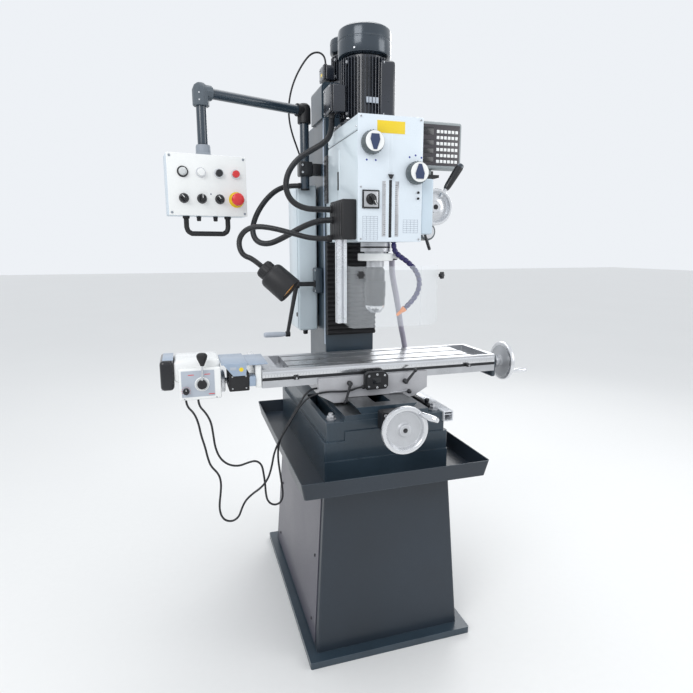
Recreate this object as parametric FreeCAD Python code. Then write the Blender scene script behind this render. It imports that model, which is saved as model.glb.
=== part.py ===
"""Bench-type mill-drill on a cabinet stand: one STEP file per separate sub-part.

Frame: millimetres, +Z up, +X towards the operator's right, +Y towards the column.
The origin is the centre of the base plate's underside. The spindle axis is the line x = 0, y = SPINDLE_Y.
"""
import FreeCAD, Part
import math
import os

V = FreeCAD.Vector
X, Y, Z = V(1, 0, 0), V(0, 1, 0), V(0, 0, 1)

# ---- stand -------------------------------------------------------------------------------------------------
PLATE_W, PLATE_D, PLATE_T = 588, 864, 24
CAB_W0, CAB_D0 = 524, 786            # cabinet footprint on the plate
CAB_W1, CAB_D1 = 446, 730            # cabinet footprint under the tray
SHEET = 3
TRAY_Z0, TRAY_Z1 = 618, 674
TRAY_W0, TRAY_D0 = 626, 918          # tray floor outline
TRAY_W1, TRAY_D1 = 648, 938          # tray rim outline
DECK = TRAY_Z0 + SHEET               # the casting stands here

# ---- base casting and Y axis -------------------------------------------------------------------------------
CAST_W, CAST_Y0, CAST_Y1 = 443, -359, 395
FOOT_Z, SHOULDER_Z, APRON_Z, POCKET_Z, BLOCK_Z = 688, 753, 785, 765, 818
TROUGH_Z, WAY_Z = 837, 860
WAY_TOP, WAY_FOOT = 108, 90          # half widths of the dovetail way
BLOCK_X = 150                        # inner side of the two corner blocks
BLOCK_BOLT_X = 187                   # hold-down stud on each corner block
SCALE_X0, SCALE_Y1 = 203, 60         # aluminium scale cover along the right side
Y_SCREW_Z = 822
Y_WHEEL_Y = -490
WHEEL_R = 77

# ---- saddle, table and X axis ------------------------------------------------------------------------------
SADDLE_X, SADDLE_Y0, SADDLE_Y1 = 204, -219, 24
SADDLE_TOP, UPSTAND_Z = 913.5, 936
TABLE_X0, TABLE_X1, TABLE_YC, TABLE_W = -396, 494.5, -88, 238
TABLE_TOP, TABLE_BOTTOM = 977, 914
SLOT_X0, SLOT_X1 = -300, 402
SLOT_PITCH, SLOT_W, SLOT_HEAD_W = 80, 14, 24
X_SCREW_Z = 922
X_WHEEL_X = 602
SCREW_R = 11
RUNNING_FIT = 0.05

# ---- power feed --------------------------------------------------------------------------------------------
FEED_X0, FEED_X1, FEED_Y0, FEED_Y1 = -675, -529, -222, -55
FEED_Z0, FEED_Z1 = 897, 1024
FEED_DIAL_X, FEED_DIAL_Z = -589, 949
FEED_KNOB_X, FEED_KNOB_Z = -639, 929

# ---- column and Z axis -------------------------------------------------------------------------------------
COL_X, COL_Y0, COL_Y1, COL_TOP = 100, 73, 340, 1850
BELLOWS_Z0, BELLOWS_Y0 = 1040, 42
Z_MOTOR_Y, Z_MOTOR_R, Z_MOTOR_TOP = 130, 58, 2145
CRANK_Y, CRANK_Z, CRANK_LEN = 122, 1237, 196

# ---- head --------------------------------------------------------------------------------------------------
SPINDLE_Y = -214
HEAD_X, HEAD_Y0, HEAD_Y1, HEAD_Z0, HEAD_Z1 = 106, -343, 0, 1396, 1773
LID_Z = 1726
MOTOR_Y, MOTOR_R, MOTOR_TOP = -89, 90, 2098
HUB_X, HUB_Z, HUB_R, HUB_Y = 217, 1516, 62, -229
KNOBS = {"speed_knob_upper": (-65, 1689), "speed_knob_lower": (82, 1606)}
KNOB_SHAFT_R, KNOB_SHAFT = 6, 18
SWITCH_X, SWITCH_Z = -66, 1524
QUILL_R, CHUCK_R = 37.5, 36
DRO_PIN_Z = 1661
GUARD_POST = (-143, -285)
GUARD_Z0, GUARD_Z1 = 1128, 1320
GUARD_PIN_R = 7

# ---- pendant -----------------------------------------------------------------------------------------------
POST = (-160, 141)
POST_Z0 = 1597
ARM_Z = 1884
DROP = (-541, -1)
BOX_W, BOX_D, BOX_Z0, BOX_Z1 = 258, 90, 1483, 1680
BOX_YAW = 7
ROW1_Z, ROW2_Z = 1622, 1538
BUTTON_X = (-80, -22, 37, 93)
BUTTON_R = 12

SHAPES = {}


def put(node, *solids):
    """Keep the solids of one node; they stay separate solids."""
    SHAPES.setdefault(node, []).extend(solids)


def box(x0, x1, y0, y1, z0, z1, r=0, edges="Z"):
    """Box between corners, with the edges along one axis rounded by r."""
    b = Part.makeBox(x1 - x0, y1 - y0, z1 - z0, V(x0, y0, z0))
    if r:
        b = b.makeFillet(r, [e for e in b.Edges if _along(e, edges)])
    return b


def _along(edge, names):
    d = edge.tangentAt(edge.FirstParameter)
    return any(abs(d.dot({"X": X, "Y": Y, "Z": Z}[n])) > 0.99 for n in names)


def cyl(base, axis, r, length):
    return Part.makeCylinder(r, length, V(*base), axis)


def ring(base, axis, r_out, r_in, length):
    return cyl(base, axis, r_out, length).cut(cyl(base, axis, r_in, length))


def prism(points, axis, length):
    """Straight extrusion of a closed polygon given as 3-D points."""
    pts = [V(*p) for p in points]
    return Part.Face(Part.makePolygon(pts + pts[:1])).extrude(axis * length)


def frustum(w0, d0, z0, w1, d1, z1, yc=0, r=0):
    """Tapered block between two rectangles centred on x = 0, y = yc."""
    wires = []
    for w, d, z in ((w0, d0, z0), (w1, d1, z1)):
        face = [V(-w / 2, yc - d / 2, z), V(w / 2, yc - d / 2, z), V(w / 2, yc + d / 2, z), V(-w / 2, yc + d / 2, z)]
        wires.append(Part.makePolygon(face + face[:1]))
    solid = Part.makeLoft(wires, True, True)
    if r:
        solid = solid.makeFillet(r, [e for e in solid.Edges if abs((e.Vertexes[0].Z - e.Vertexes[1].Z)) > 1])
    return solid


def turned(profile, base, axis):
    """Solid of revolution: profile points are (radius, distance along the axis) from base."""
    pts = [V(r, 0, h) for r, h in profile]
    solid = Part.Face(Part.makePolygon(pts + pts[:1])).revolve(V(0, 0, 0), Z, 360)
    solid.Placement = FreeCAD.Placement(V(*base), FreeCAD.Rotation(Z, axis))
    return solid


def rod(a, b, r):
    a, b = V(*a), V(*b)
    return Part.makeCylinder(r, (b - a).Length, a, b - a)


def path_of(points):
    """Straight runs joined by tangent arcs; returns the wire and the arcs' radii."""
    p = [V(*q) for q in points]
    cuts, radii = [], []
    for a, b, c in zip(p, p[1:], p[2:]):
        run = min((b - a).Length, (c - b).Length)
        turn = (b - a).getAngle(c - b)
        radius = 0.45 * run / math.tan(turn / 2)
        radii.append(radius)
        u, v = (a - b).normalize(), (c - b).normalize()
        back = 0.45 * run
        half = (math.pi - turn) / 2
        centre = b + (u + v).normalize() * (radius / math.sin(half))
        middle = centre + (b - centre).normalize() * radius
        cuts.append((b + u * back, middle, b + v * back))
    edges, here = [], p[0]
    for start, middle, end in cuts:
        edges.append(Part.LineSegment(here, start).toShape())
        edges.append(Part.Arc(start, middle, end).toShape())
        here = end
    edges.append(Part.LineSegment(here, p[-1]).toShape())
    return Part.Wire(edges), radii


def cord(node, points, diameter):
    """Plain round tube along a free hose or cable."""
    wire, radii = path_of(points)
    start = V(*points[0])
    circle = Part.Wire([Part.Circle(start, V(*points[1]) - start, diameter / 2).toShape()])
    tube = wire.makePipeShell([circle], True, False)
    want = math.pi * diameter ** 2 / 4 * wire.Length
    print(f"{node}: length {wire.Length:.0f} mm, tube/section*length {tube.Volume / want:.3f}, "
          f"radii/diameter {min(radii) / diameter:.1f}..{max(radii) / diameter:.1f}")
    put(node, tube)


def handwheel(base, axis, radius):
    """Dished handwheel whose front side is at base; axis points to its back."""
    return turned([(SCREW_R, 2), (20, 2), (20, 8), (radius - 18, 12), (radius - 14, 0), (radius - 4, 0), (radius, 4),
                   (radius, 14), (radius - 4, 18), (radius - 12, 18), (22, 20), (22, 30), (SCREW_R, 30)], base, axis)


# ---- stand -------------------------------------------------------------------------------------------------
def make_stand():
    put("base_plate", box(-PLATE_W / 2, PLATE_W / 2, -PLATE_D / 2, PLATE_D / 2, 0, PLATE_T, 6))
    outer = frustum(CAB_W0, CAB_D0, PLATE_T, CAB_W1, CAB_D1, TRAY_Z0, 0, 8)
    wall = 2 * SHEET
    inner = frustum(CAB_W0 - wall, CAB_D0 - wall, PLATE_T, CAB_W1 - wall, CAB_D1 - wall, TRAY_Z0, 0, 6)
    put("stand_cabinet", outer.cut(inner))
    tray = frustum(TRAY_W0, TRAY_D0, TRAY_Z0, TRAY_W1, TRAY_D1, TRAY_Z1, 0, 10)
    well = frustum(TRAY_W0 - wall, TRAY_D0 - wall, DECK, TRAY_W1 - wall, TRAY_D1 - wall, TRAY_Z1, 0, 8)
    put("chip_tray", tray.cut(well))
    put("stand_side_cover", side_cover())


def cabinet_half_width(z):
    return (CAB_W0 + (CAB_W1 - CAB_W0) * (z - PLATE_T) / (TRAY_Z0 - PLATE_T)) / 2


def cabinet_half_depth(z):
    return (CAB_D0 + (CAB_D1 - CAB_D0) * (z - PLATE_T) / (TRAY_Z0 - PLATE_T)) / 2


def side_cover(gap=0.3, thick=2.5, margin=34):
    """Removable sheet cover on the cabinet's sloping left side."""
    corners = []
    for z, sy in ((PLATE_T + 14, -1), (TRAY_Z0 - 22, -1), (TRAY_Z0 - 22, 1), (PLATE_T + 14, 1)):
        corners.append((-cabinet_half_width(z) - gap, sy * (cabinet_half_depth(z) - margin), z))
    return prism(corners, -X, thick)


# ---- base casting ------------------------------------------------------------------------------------------
def make_base_casting():
    half = CAST_W / 2
    foot = box(-half, half, CAST_Y0, CAST_Y1, DECK, FOOT_Z, 6)
    lower = box(-half, half, CAST_Y0 + 6, CAST_Y1, FOOT_Z, SHOULDER_Z, 6)
    upper = box(-half + 10, half - 10, CAST_Y0 + 12, CAST_Y1, SHOULDER_Z, BLOCK_Z, 5)
    apron = box(-BLOCK_X, BLOCK_X, CAST_Y0 + 6, CAST_Y1, SHOULDER_Z - 30, APRON_Z)
    ridge = box(-BLOCK_X, BLOCK_X, CAST_Y0 + 14, CAST_Y1, APRON_Z, TROUGH_Z)
    way = prism([(-WAY_FOOT, CAST_Y0 + 16, TROUGH_Z - 1), (WAY_FOOT, CAST_Y0 + 16, TROUGH_Z - 1),
                 (WAY_FOOT, CAST_Y0 + 16, TROUGH_Z), (WAY_TOP, CAST_Y0 + 16, WAY_Z), (-WAY_TOP, CAST_Y0 + 16, WAY_Z),
                 (-WAY_FOOT, CAST_Y0 + 16, TROUGH_Z)], Y, CAST_Y1 - CAST_Y0 - 16)
    body = foot.fuse([lower, upper, apron, ridge, way]).removeSplitter()
    for sx in (-1, 1):
        pocket = box(*sorted((sx * (BLOCK_X + 6), sx * (half - 26))), CAST_Y0 + 92, 10, POCKET_Z, BLOCK_Z + 1, 8)
        body = body.cut(pocket)
    rebate = box(SCALE_X0 - 0.3, half, CAST_Y0 - 1, SCALE_Y1 + 1, APRON_Z + 0.7, BLOCK_Z + 1)
    screw_hole = cyl((0, CAST_Y0 - 1, Y_SCREW_Z), Y, SCREW_R + 1.5, 90)
    nut_slot = box(-30, 30, CAST_Y0 + 60, 50, 800, WAY_Z + 1, 8)
    put("base_casting", body.cut(rebate).cut(screw_hole).cut(nut_slot))
    bearing = box(-40, 40, -402, CAST_Y0 - 0.2, 787, 853, 8, "Y")
    put("y_bearing_block", bearing.cut(cyl((0, -403, Y_SCREW_Z), Y, SCREW_R + RUNNING_FIT, 60)))
    cover = box(SCALE_X0, SCALE_X0 + 37, CAST_Y0 + 1, SCALE_Y1, 786, 822, 2, "Y")
    cover = cover.cut(box(SCALE_X0 + 5, SCALE_X0 + 32, CAST_Y0, SCALE_Y1 + 1, 790, 818))
    bar = box(174, 188, -290, 40, BLOCK_Z + 0.1, BLOCK_Z + 12, 2, "Y")
    put("y_scale_cover", cover, bar)


def make_y_screw():
    front = Y_WHEEL_Y - 10
    screw = cyl((0, front + 3, Y_SCREW_Z), Y, SCREW_R, -front - 3)
    dial = ring((0, -432, Y_SCREW_Z), Y, 30, SCREW_R, 29)
    wheel = handwheel((0, front, Y_SCREW_Z), Y, WHEEL_R)
    hub = turned([(SCREW_R, 0), (24, 0), (28, 38), (SCREW_R, 38)], (0, front + 30, Y_SCREW_Z), Y)
    a = math.radians(48)
    root = V((WHEEL_R - 9) * math.cos(a), front + 2, Y_SCREW_Z + (WHEEL_R - 9) * math.sin(a))
    put("y_feed_screw", screw, dial, hub, wheel, grip(root, V(0.55, -0.8, -0.15), 66).cut(wheel))


def grip(root, direction, length):
    """Turned crank grip that swells towards its free end."""
    return turned([(0, 0), (6, 0), (6, 4), (8, 8), (10, length * 0.55), (9.5, length - 6), (6, length), (0, length)],
                  tuple(root), direction)


# ---- saddle and table --------------------------------------------------------------------------------------
def make_saddle():
    low, gap = 845, 1.0
    lean = (WAY_TOP - WAY_FOOT) / (WAY_Z - TROUGH_Z)
    foot_at_low = WAY_FOOT + lean * (low - TROUGH_Z) + gap
    roof = WAY_Z + 1.5
    foot_at_roof = WAY_TOP + lean * 1.5 + gap
    outline = [(-SADDLE_X, SADDLE_TOP), (-SADDLE_X, 876), (-150, low), (-foot_at_low, low),
               (-foot_at_roof, roof), (foot_at_roof, roof), (foot_at_low, low), (150, low),
               (SADDLE_X, 876), (SADDLE_X, SADDLE_TOP)]
    body = prism([(x, SADDLE_Y0, z) for x, z in outline], Y, SADDLE_Y1 - SADDLE_Y0)
    upstand = box(-SADDLE_X, SADDLE_X, SADDLE_Y0, TABLE_YC - TABLE_W / 2 - 1.2, 890, UPSTAND_Z)
    dovetail = prism([(-SADDLE_X, TABLE_YC - 55, SADDLE_TOP - 1), (-SADDLE_X, TABLE_YC + 55, SADDLE_TOP - 1),
                      (-SADDLE_X, TABLE_YC + 55, SADDLE_TOP), (-SADDLE_X, TABLE_YC + 70, 937),
                      (-SADDLE_X, TABLE_YC - 70, 937), (-SADDLE_X, TABLE_YC - 55, SADDLE_TOP)], X, 2 * SADDLE_X)
    y_nut = box(-24, 24, -70, -30, 806, WAY_Z + 4)
    body = body.fuse([upstand, dovetail, y_nut]).removeSplitter()
    body = body.cut(cyl((-SADDLE_X - 1, TABLE_YC, X_SCREW_Z), X, SCREW_R + 1, 2 * SADDLE_X + 2))
    put("saddle", body.cut(cyl((0, -80, Y_SCREW_Z), Y, SCREW_R + RUNNING_FIT, 60)))
    case = box(-43, 43, -244, -221.5, 888, 950, 4, "Y")
    screws = [cyl((x, -246, z), Y, 4, 2) for x in (-30, 30) for z in (900, 938)]
    oiler = rod((128, SADDLE_Y0, 868), (128, SADDLE_Y0 - 14, 868), 9)
    put("limit_switch", case, oiler, *screws)
    for name, x, z, tip in (("clamp_lever_left", -95, 913, (-21, -46)), ("clamp_lever_right", 115, 905, (30, 42))):
        boss = cyl((x, SADDLE_Y0 - 0.3, z), -Y, 9, 20)
        arm = rod((x, SADDLE_Y0 - 18, z), (x + tip[0], SADDLE_Y0 - 26, z + tip[1]), 5)
        ball = Part.makeSphere(7, V(x + tip[0], SADDLE_Y0 - 26, z + tip[1]))
        put(name, boss.fuse([arm, ball]).removeSplitter())


def make_table():
    y0, y1 = TABLE_YC - TABLE_W / 2, TABLE_YC + TABLE_W / 2
    body = box(TABLE_X0, TABLE_X1, y0, y1, TABLE_BOTTOM, TABLE_TOP, 5)
    for k in (-1, 0, 1):
        yc = TABLE_YC + k * SLOT_PITCH
        neck = box(SLOT_X0, SLOT_X1, yc - SLOT_W / 2, yc + SLOT_W / 2, TABLE_TOP - 24, TABLE_TOP + 1)
        head = box(SLOT_X0, SLOT_X1, yc - SLOT_HEAD_W / 2, yc + SLOT_HEAD_W / 2, TABLE_TOP - 24, TABLE_TOP - 14)
        body = body.cut(neck).cut(head)
    body = body.cut(box(SLOT_X0 - 40, SLOT_X0, y0 + 16, y1 - 16, TABLE_TOP - 26, TABLE_TOP + 1, 6))
    body = body.cut(box(SLOT_X1, TABLE_X1 - 18, y0 + 16, y1 - 16, TABLE_TOP - 26, TABLE_TOP + 1, 6))
    body = body.cut(box(TABLE_X0 - 1, TABLE_X1 + 1, y0 - 1, y0 + 9, 938, 948))
    start = TABLE_X0 - 1
    groove = prism([(start, TABLE_YC - 56, TABLE_BOTTOM - 1), (start, TABLE_YC + 56, TABLE_BOTTOM - 1),
                    (start, TABLE_YC + 72, 938.5), (start, TABLE_YC - 72, 938.5)], X, TABLE_X1 + 1 - start)
    put("table", body.cut(groove))
    ruler = box(TABLE_X0 + 2, TABLE_X1 - 4, y0 - 1.5, y0 - 0.2, 949, 970)
    stops = [box(x - 9, x + 9, y0 - 13, y0 - 0.2, 938.5, 948.8, 2, "Y") for x in (-281, 376)]
    put("table_scale", ruler, *stops)
    left = box(TABLE_X0 - 21, TABLE_X0 - 0.3, y0, y1, 918, 997, 4, "X")
    right = box(TABLE_X1 + 0.3, TABLE_X1 + 18, y0 + 20, y1 - 20, 884, 968, 8, "X")
    right = right.fuse(cyl((TABLE_X1 + 17, TABLE_YC, X_SCREW_Z), X, 30, 48))
    bore = cyl((TABLE_X0 - 40, TABLE_YC, X_SCREW_Z), X, SCREW_R + RUNNING_FIT, 1100)
    sensor = box(-504, -438, -214, -110, 912, 974, 4)
    latch = box(-437.7, -417.3, -214, -160, 926, 960, 2)
    put("table_end_brackets", left.cut(bore), right.cut(bore), sensor, latch)
    flap = prism([(-520, -222, 1004), (-445, -222, 1004), (-449, -222, 966), (-490, -222, 966)], Y, 3)
    top = box(-527, -445, -222, -52, 1004, 1008).fuse(flap)
    step = box(-444.7, -376, -216, -52, 998, 1002)
    put("feed_cover", top, step)


def make_x_screw():
    front = X_WHEEL_X + 12
    screw = cyl((-660, TABLE_YC, X_SCREW_Z), X, SCREW_R, 660 + front - 3)
    wheel = handwheel((front, TABLE_YC, X_SCREW_Z), -X, WHEEL_R + 1)
    dial = ring((front - 52, TABLE_YC, X_SCREW_Z), X, 27, SCREW_R, 18)
    hub = ring((front - 34, TABLE_YC, X_SCREW_Z), X, 20, SCREW_R, 4)
    a = math.radians(206)
    root = V(front - 2, TABLE_YC + (WHEEL_R - 8) * math.cos(a), X_SCREW_Z + (WHEEL_R - 8) * math.sin(a))
    left = ring((-524, TABLE_YC, X_SCREW_Z), X, 40, SCREW_R, 14)
    put("x_feed_screw", screw, dial, hub, wheel, left, grip(root, X, 66).cut(wheel))


def make_power_feed():
    bore = cyl((-700, TABLE_YC, X_SCREW_Z), X, SCREW_R + 1, 200)
    upper = box(FEED_X0 + 2, FEED_X1, FEED_Y0 + 16, FEED_Y1, 950, FEED_Z1, 16, "X")
    lower = box(-660, FEED_X1, FEED_Y0, FEED_Y1, FEED_Z0, 1000, 6, "X")
    panel = box(-652, -550, FEED_Y0 - 1.5, FEED_Y0, 908, 993)
    cap = box(-715, FEED_X0 + 1.7, FEED_Y0 + 14, FEED_Y1 - 2, 928, FEED_Z1 + 2, 14, "X")
    boss = cyl((FEED_DIAL_X, FEED_Y0 - 1.5, FEED_DIAL_Z), -Y, 23, 5)
    put("feed_housing", upper.fuse(lower).cut(bore).removeSplitter(), panel, cap, boss)
    hub = cyl((FEED_DIAL_X, FEED_Y0 - 6.8, FEED_DIAL_Z), -Y, 15, 9)
    stem = rod((FEED_DIAL_X, FEED_Y0 - 12, FEED_DIAL_Z + 8), (FEED_DIAL_X + 3, FEED_Y0 - 12, 1014), 3)
    ball = turned([(0, 0), (6, 0), (15, 22), (17, 32), (12, 40), (0, 42)], (FEED_DIAL_X + 3, FEED_Y0 - 12, 1010), Z)
    put("feed_lever", hub.fuse([stem, ball]).removeSplitter())
    put("feed_speed_knob", cyl((FEED_KNOB_X, FEED_Y0 - 1.8, FEED_KNOB_Z), -Y, 10, 15))


# ---- column ------------------------------------------------------------------------------------------------
def make_column():
    body = box(-COL_X, COL_X, COL_Y0, COL_Y1, WAY_Z, COL_TOP, 6)
    flange = box(-COL_X - 36, COL_X + 36, COL_Y0 + 22, COL_Y1 + 36, WAY_Z, WAY_Z + 30, 6)
    cavity = box(-COL_X + 25, COL_X - 25, COL_Y0 + 40, COL_Y1 - 25, WAY_Z, COL_TOP)
    crank_hole = cyl((-COL_X - 1, CRANK_Y, CRANK_Z), X, 16, 30)
    put("column", body.fuse(flange).cut(cavity).cut(crank_hole).removeSplitter())
    pitch, n = 17.8, 20
    outline = [(COL_Y0 - 0.4, BELLOWS_Z0)]
    for i in range(n):
        outline.append((BELLOWS_Y0 + 9, BELLOWS_Z0 + pitch * i))
        outline.append((BELLOWS_Y0, BELLOWS_Z0 + pitch * (i + 0.5)))
    outline.append((BELLOWS_Y0 + 9, BELLOWS_Z0 + pitch * n))
    outline.append((COL_Y0 - 0.4, BELLOWS_Z0 + pitch * n))
    folds = prism([(-COL_X + 2, y, z) for y, z in outline], X, 2 * COL_X - 4)
    put("column_bellows", folds)
    case = box(-COL_X - 8, COL_X + 8, COL_Y0 + 2, 240, COL_TOP + 0.2, 1975, 10)
    case = case.makeFillet(18, [e for e in case.Edges if e.BoundBox.ZMin > 1970 and _along(e, "Y")])
    motor = turned([(0, 0), (66, 0), (66, 10), (52, 12), (52, 112), (0, 112)], (0, Z_MOTOR_Y, 1975.2), Z)
    fan = turned([(0, 0), (Z_MOTOR_R, 0), (Z_MOTOR_R, 46), (Z_MOTOR_R - 10, 57), (0, 57)],
                 (0, Z_MOTOR_Y, Z_MOTOR_TOP - 57.4), Z)
    junction = box(-92, -58, Z_MOTOR_Y - 32, Z_MOTOR_Y + 32, 1990, 2042, 4)
    gland = cyl((-75, Z_MOTOR_Y + 10, 2042), Z, 9, 14)
    crank_box = box(-130, -COL_X - 0.2, 104, 160, 1200, 1300, 6, "X").cut(cyl((-140, CRANK_Y, CRANK_Z), X, 9.05, 50))
    screw = cyl((0, 215, WAY_Z + 10), Z, 14, COL_TOP - WAY_Z - 12)
    put("z_drive", case, motor, fan, junction, gland, crank_box, screw)
    cabinet = box(-190, -COL_X - 8, 165, 330, 1045, 1620, 10, "Z")
    cabinet = cabinet.makeFillet(14, [e for e in cabinet.Edges if e.BoundBox.ZMax < 1046])
    bracket = box(-COL_X - 7.8, -COL_X - 0.2, 190, 310, 1100, 1560)
    glands = [cyl((-150, 215, 1045), -Z, 11, 22), cyl((-150, 215, 1620), Z, 9, 19.8)]
    put("electrical_cabinet", cabinet, bracket, *glands)
    put_crank()


def put_crank():
    shaft = cyl((-206, CRANK_Y, CRANK_Z), X, 9, 94)
    end = V(-244, CRANK_Y, CRANK_Z - CRANK_LEN)
    arm = rod((-204, CRANK_Y, CRANK_Z), tuple(end), 8)
    hub = cyl((-216, CRANK_Y, CRANK_Z), X, 17, 22)
    foot = cyl((-252, CRANK_Y, end.z), X, 11, 18)
    handle = turned([(0, 0), (8, 0), (10.5, 20), (10.5, 78), (8, 86), (0, 86)], (-252.3, CRANK_Y, end.z), -X)
    put("z_crank", shaft.fuse([arm, hub, foot]).removeSplitter(), handle)


# ---- head --------------------------------------------------------------------------------------------------
def make_head():
    spindle_bore = cyl((0, SPINDLE_Y, HEAD_Z0 - 1), Z, QUILL_R + 0.05, 250)
    body = box(-HEAD_X, HEAD_X, HEAD_Y0, HEAD_Y1, HEAD_Z0, LID_Z, 5)
    body = body.cut(spindle_bore)
    body = body.cut(box(-4, 4, HEAD_Y0 - 1, SPINDLE_Y - QUILL_R + 2, 1409, 1584))
    shaft_bores = [cyl((x, HEAD_Y0 - 5, z), Y, KNOB_SHAFT_R + RUNNING_FIT, 22) for x, z in KNOBS.values()]
    body = body.cut(shaft_bores)
    collar = ring((0, SPINDLE_Y, HEAD_Z0 - 32), Z, 51, QUILL_R + 0.05, 31.8)
    lid = box(-HEAD_X, HEAD_X, HEAD_Y0, HEAD_Y1, LID_Z + 1, HEAD_Z1, 5)
    carriage = box(-COL_X + 5, COL_X - 5, HEAD_Y1 + 0.2, COL_Y0 - 0.5, 1400, 1712, 4)
    gib = box(-HEAD_X - 4, -COL_X + 4.8, HEAD_Y1 + 0.2, 46, 1539, 1706)
    hanger = cyl((70, -140, 1340), Z, 6, HEAD_Z0 - 1340.2).fuse(box(58, 106, -156, -124, 1334.2, 1350, 3))
    put("head_housing", body, lid, collar, carriage, gib, hanger.removeSplitter())
    plate = box(-HEAD_X - 1, HEAD_X + 1, HEAD_Y0 - 3.2, HEAD_Y0 - 0.2, HEAD_Z0, HEAD_Z1 - 1)
    plate = plate.cut(box(-5, 5, HEAD_Y0 - 4, HEAD_Y0, 1409, 1584)).cut(shaft_bores)
    put("head_front_plate", plate)
    flange = box(-96, 96, MOTOR_Y - 88, MOTOR_Y + 85, HEAD_Z1 + 0.2, HEAD_Z1 + 22, 20)
    barrel = cyl((0, MOTOR_Y, HEAD_Z1 + 22.2), Z, 72, MOTOR_TOP - 92.2 - HEAD_Z1 - 22.2)
    fins = []
    for i in range(36):
        fin = box(70, 85, -1.6, 1.6, HEAD_Z1 + 40, 1996)
        fin.rotate(V(0, 0, 0), Z, i * 10)
        fin.translate(V(0, MOTOR_Y, 0))
        fins.append(fin)
    barrel = barrel.fuse(fins)
    junction = box(-134, -86, MOTOR_Y - 45, MOTOR_Y + 42, 1823, 1910, 5)
    gland = cyl((-119, MOTOR_Y - 10, 1823), -Z, 12, 18)
    put("motor_body", flange, barrel, junction, gland)
    fan = turned([(0, 0), (78, 0), (MOTOR_R, 6), (MOTOR_R, 78), (MOTOR_R - 12, 92), (0, 92)],
                 (0, MOTOR_Y, MOTOR_TOP - 92), Z)
    put("motor_fan_cover", fan)
    make_feed_side()
    make_controls()
    make_guard()
    make_spindle()


def make_feed_side():
    bore = cyl((HUB_X, -230, HUB_Z), Y, 14 + RUNNING_FIT, 90)
    case = box(HEAD_X + 0.2, 150, HEAD_Y0 + 1, -60, 1420, 1593, 6, "Y")
    bridge = box(140, 262, -176, -90, 1460, 1572, 12, "Y")
    fine = cyl((212, -175.5, 1434), Y, 31, 80)
    neck = box(150, 236, -170, -100, 1440, 1475, 4, "Y")
    put("feed_gearbox", case.fuse([bridge, neck, fine]).cut(bore).removeSplitter())
    dish = turned([(0, 4), (20, 4), (20, 16), (HUB_R - 14, 18), (HUB_R - 10, 0), (HUB_R - 3, 0), (HUB_R, 4),
                   (HUB_R, 24), (HUB_R - 6, 30), (54, 30), (54, 52), (0, 52)], (HUB_X, HUB_Y, HUB_Z), Y)
    shaft = cyl((HUB_X, HUB_Y + 45, HUB_Z), Y, 14, 40)
    u = V(65, 0, 97).normalize()
    centre = V(HUB_X, HUB_Y + 14, HUB_Z)
    lever = rod(tuple(centre + u * 40), tuple(centre + u * 110), 6)
    knob = turned([(0, 0), (9, 0), (12, 10), (14, 92), (11, 100), (0, 102)], tuple(centre + u * 74), u)
    put("feed_hub", dish.fuse([shaft, lever]).removeSplitter(), knob.cut(lever))
    boss = cyl((150.4, -250, 1437), X, 9, 18)
    arm = rod((161, -250, 1436), (184, -254, 1369), 5)
    put("quill_lock", boss.fuse(arm).removeSplitter())


def make_controls():
    face = HEAD_Y0 - 3.4
    for name, (x, z) in KNOBS.items():
        skirt = turned([(0, 0), (30, 0), (33, 5), (35, 12), (31, 34), (27, 38), (0, 38)], (x, face, z), -Y)
        put(name, skirt.fuse(cyl((x, face - 1, z), Y, KNOB_SHAFT_R, KNOB_SHAFT)).removeSplitter())
    base = box(SWITCH_X - 28, SWITCH_X + 28, face - 5.8, face - 0.1, SWITCH_Z - 28, SWITCH_Z + 28, 3, "Y")
    knob = cyl((SWITCH_X, face - 6.2, SWITCH_Z), -Y, 15, 14)
    bar = box(SWITCH_X - 5, SWITCH_X + 5, face - 30, face - 20, SWITCH_Z - 18, SWITCH_Z + 18, 3, "Y")
    bar.rotate(V(SWITCH_X, 0, SWITCH_Z), Y, -35)
    put("head_front_plate", base)
    put("main_switch", knob.fuse(bar).removeSplitter())
    screen = box(156, 422, -20, 34, 1674, 1846, 12, "Y")
    lug = box(270, 306, 0, 18, 1654.5, 1675).cut(cyl((269, 9, DRO_PIN_Z), X, 4 + RUNNING_FIT, 38))
    put("dro_display", screen.fuse(lug).removeSplitter())
    bracket = prism([(HEAD_X + 0.2, -18, 1600), (HEAD_X + 0.2, -18, 1652), (330, -18, 1652), (330, -18, 1642),
                     (150, -18, 1600)], Y, 40)
    ears = [box(x, x + 7, 0, 18, 1651, 1668) for x in (262, 307)]
    pin = cyl((264, 9, DRO_PIN_Z), X, 4, 48)
    put("head_housing", bracket.fuse(ears + [pin]).removeSplitter())


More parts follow.
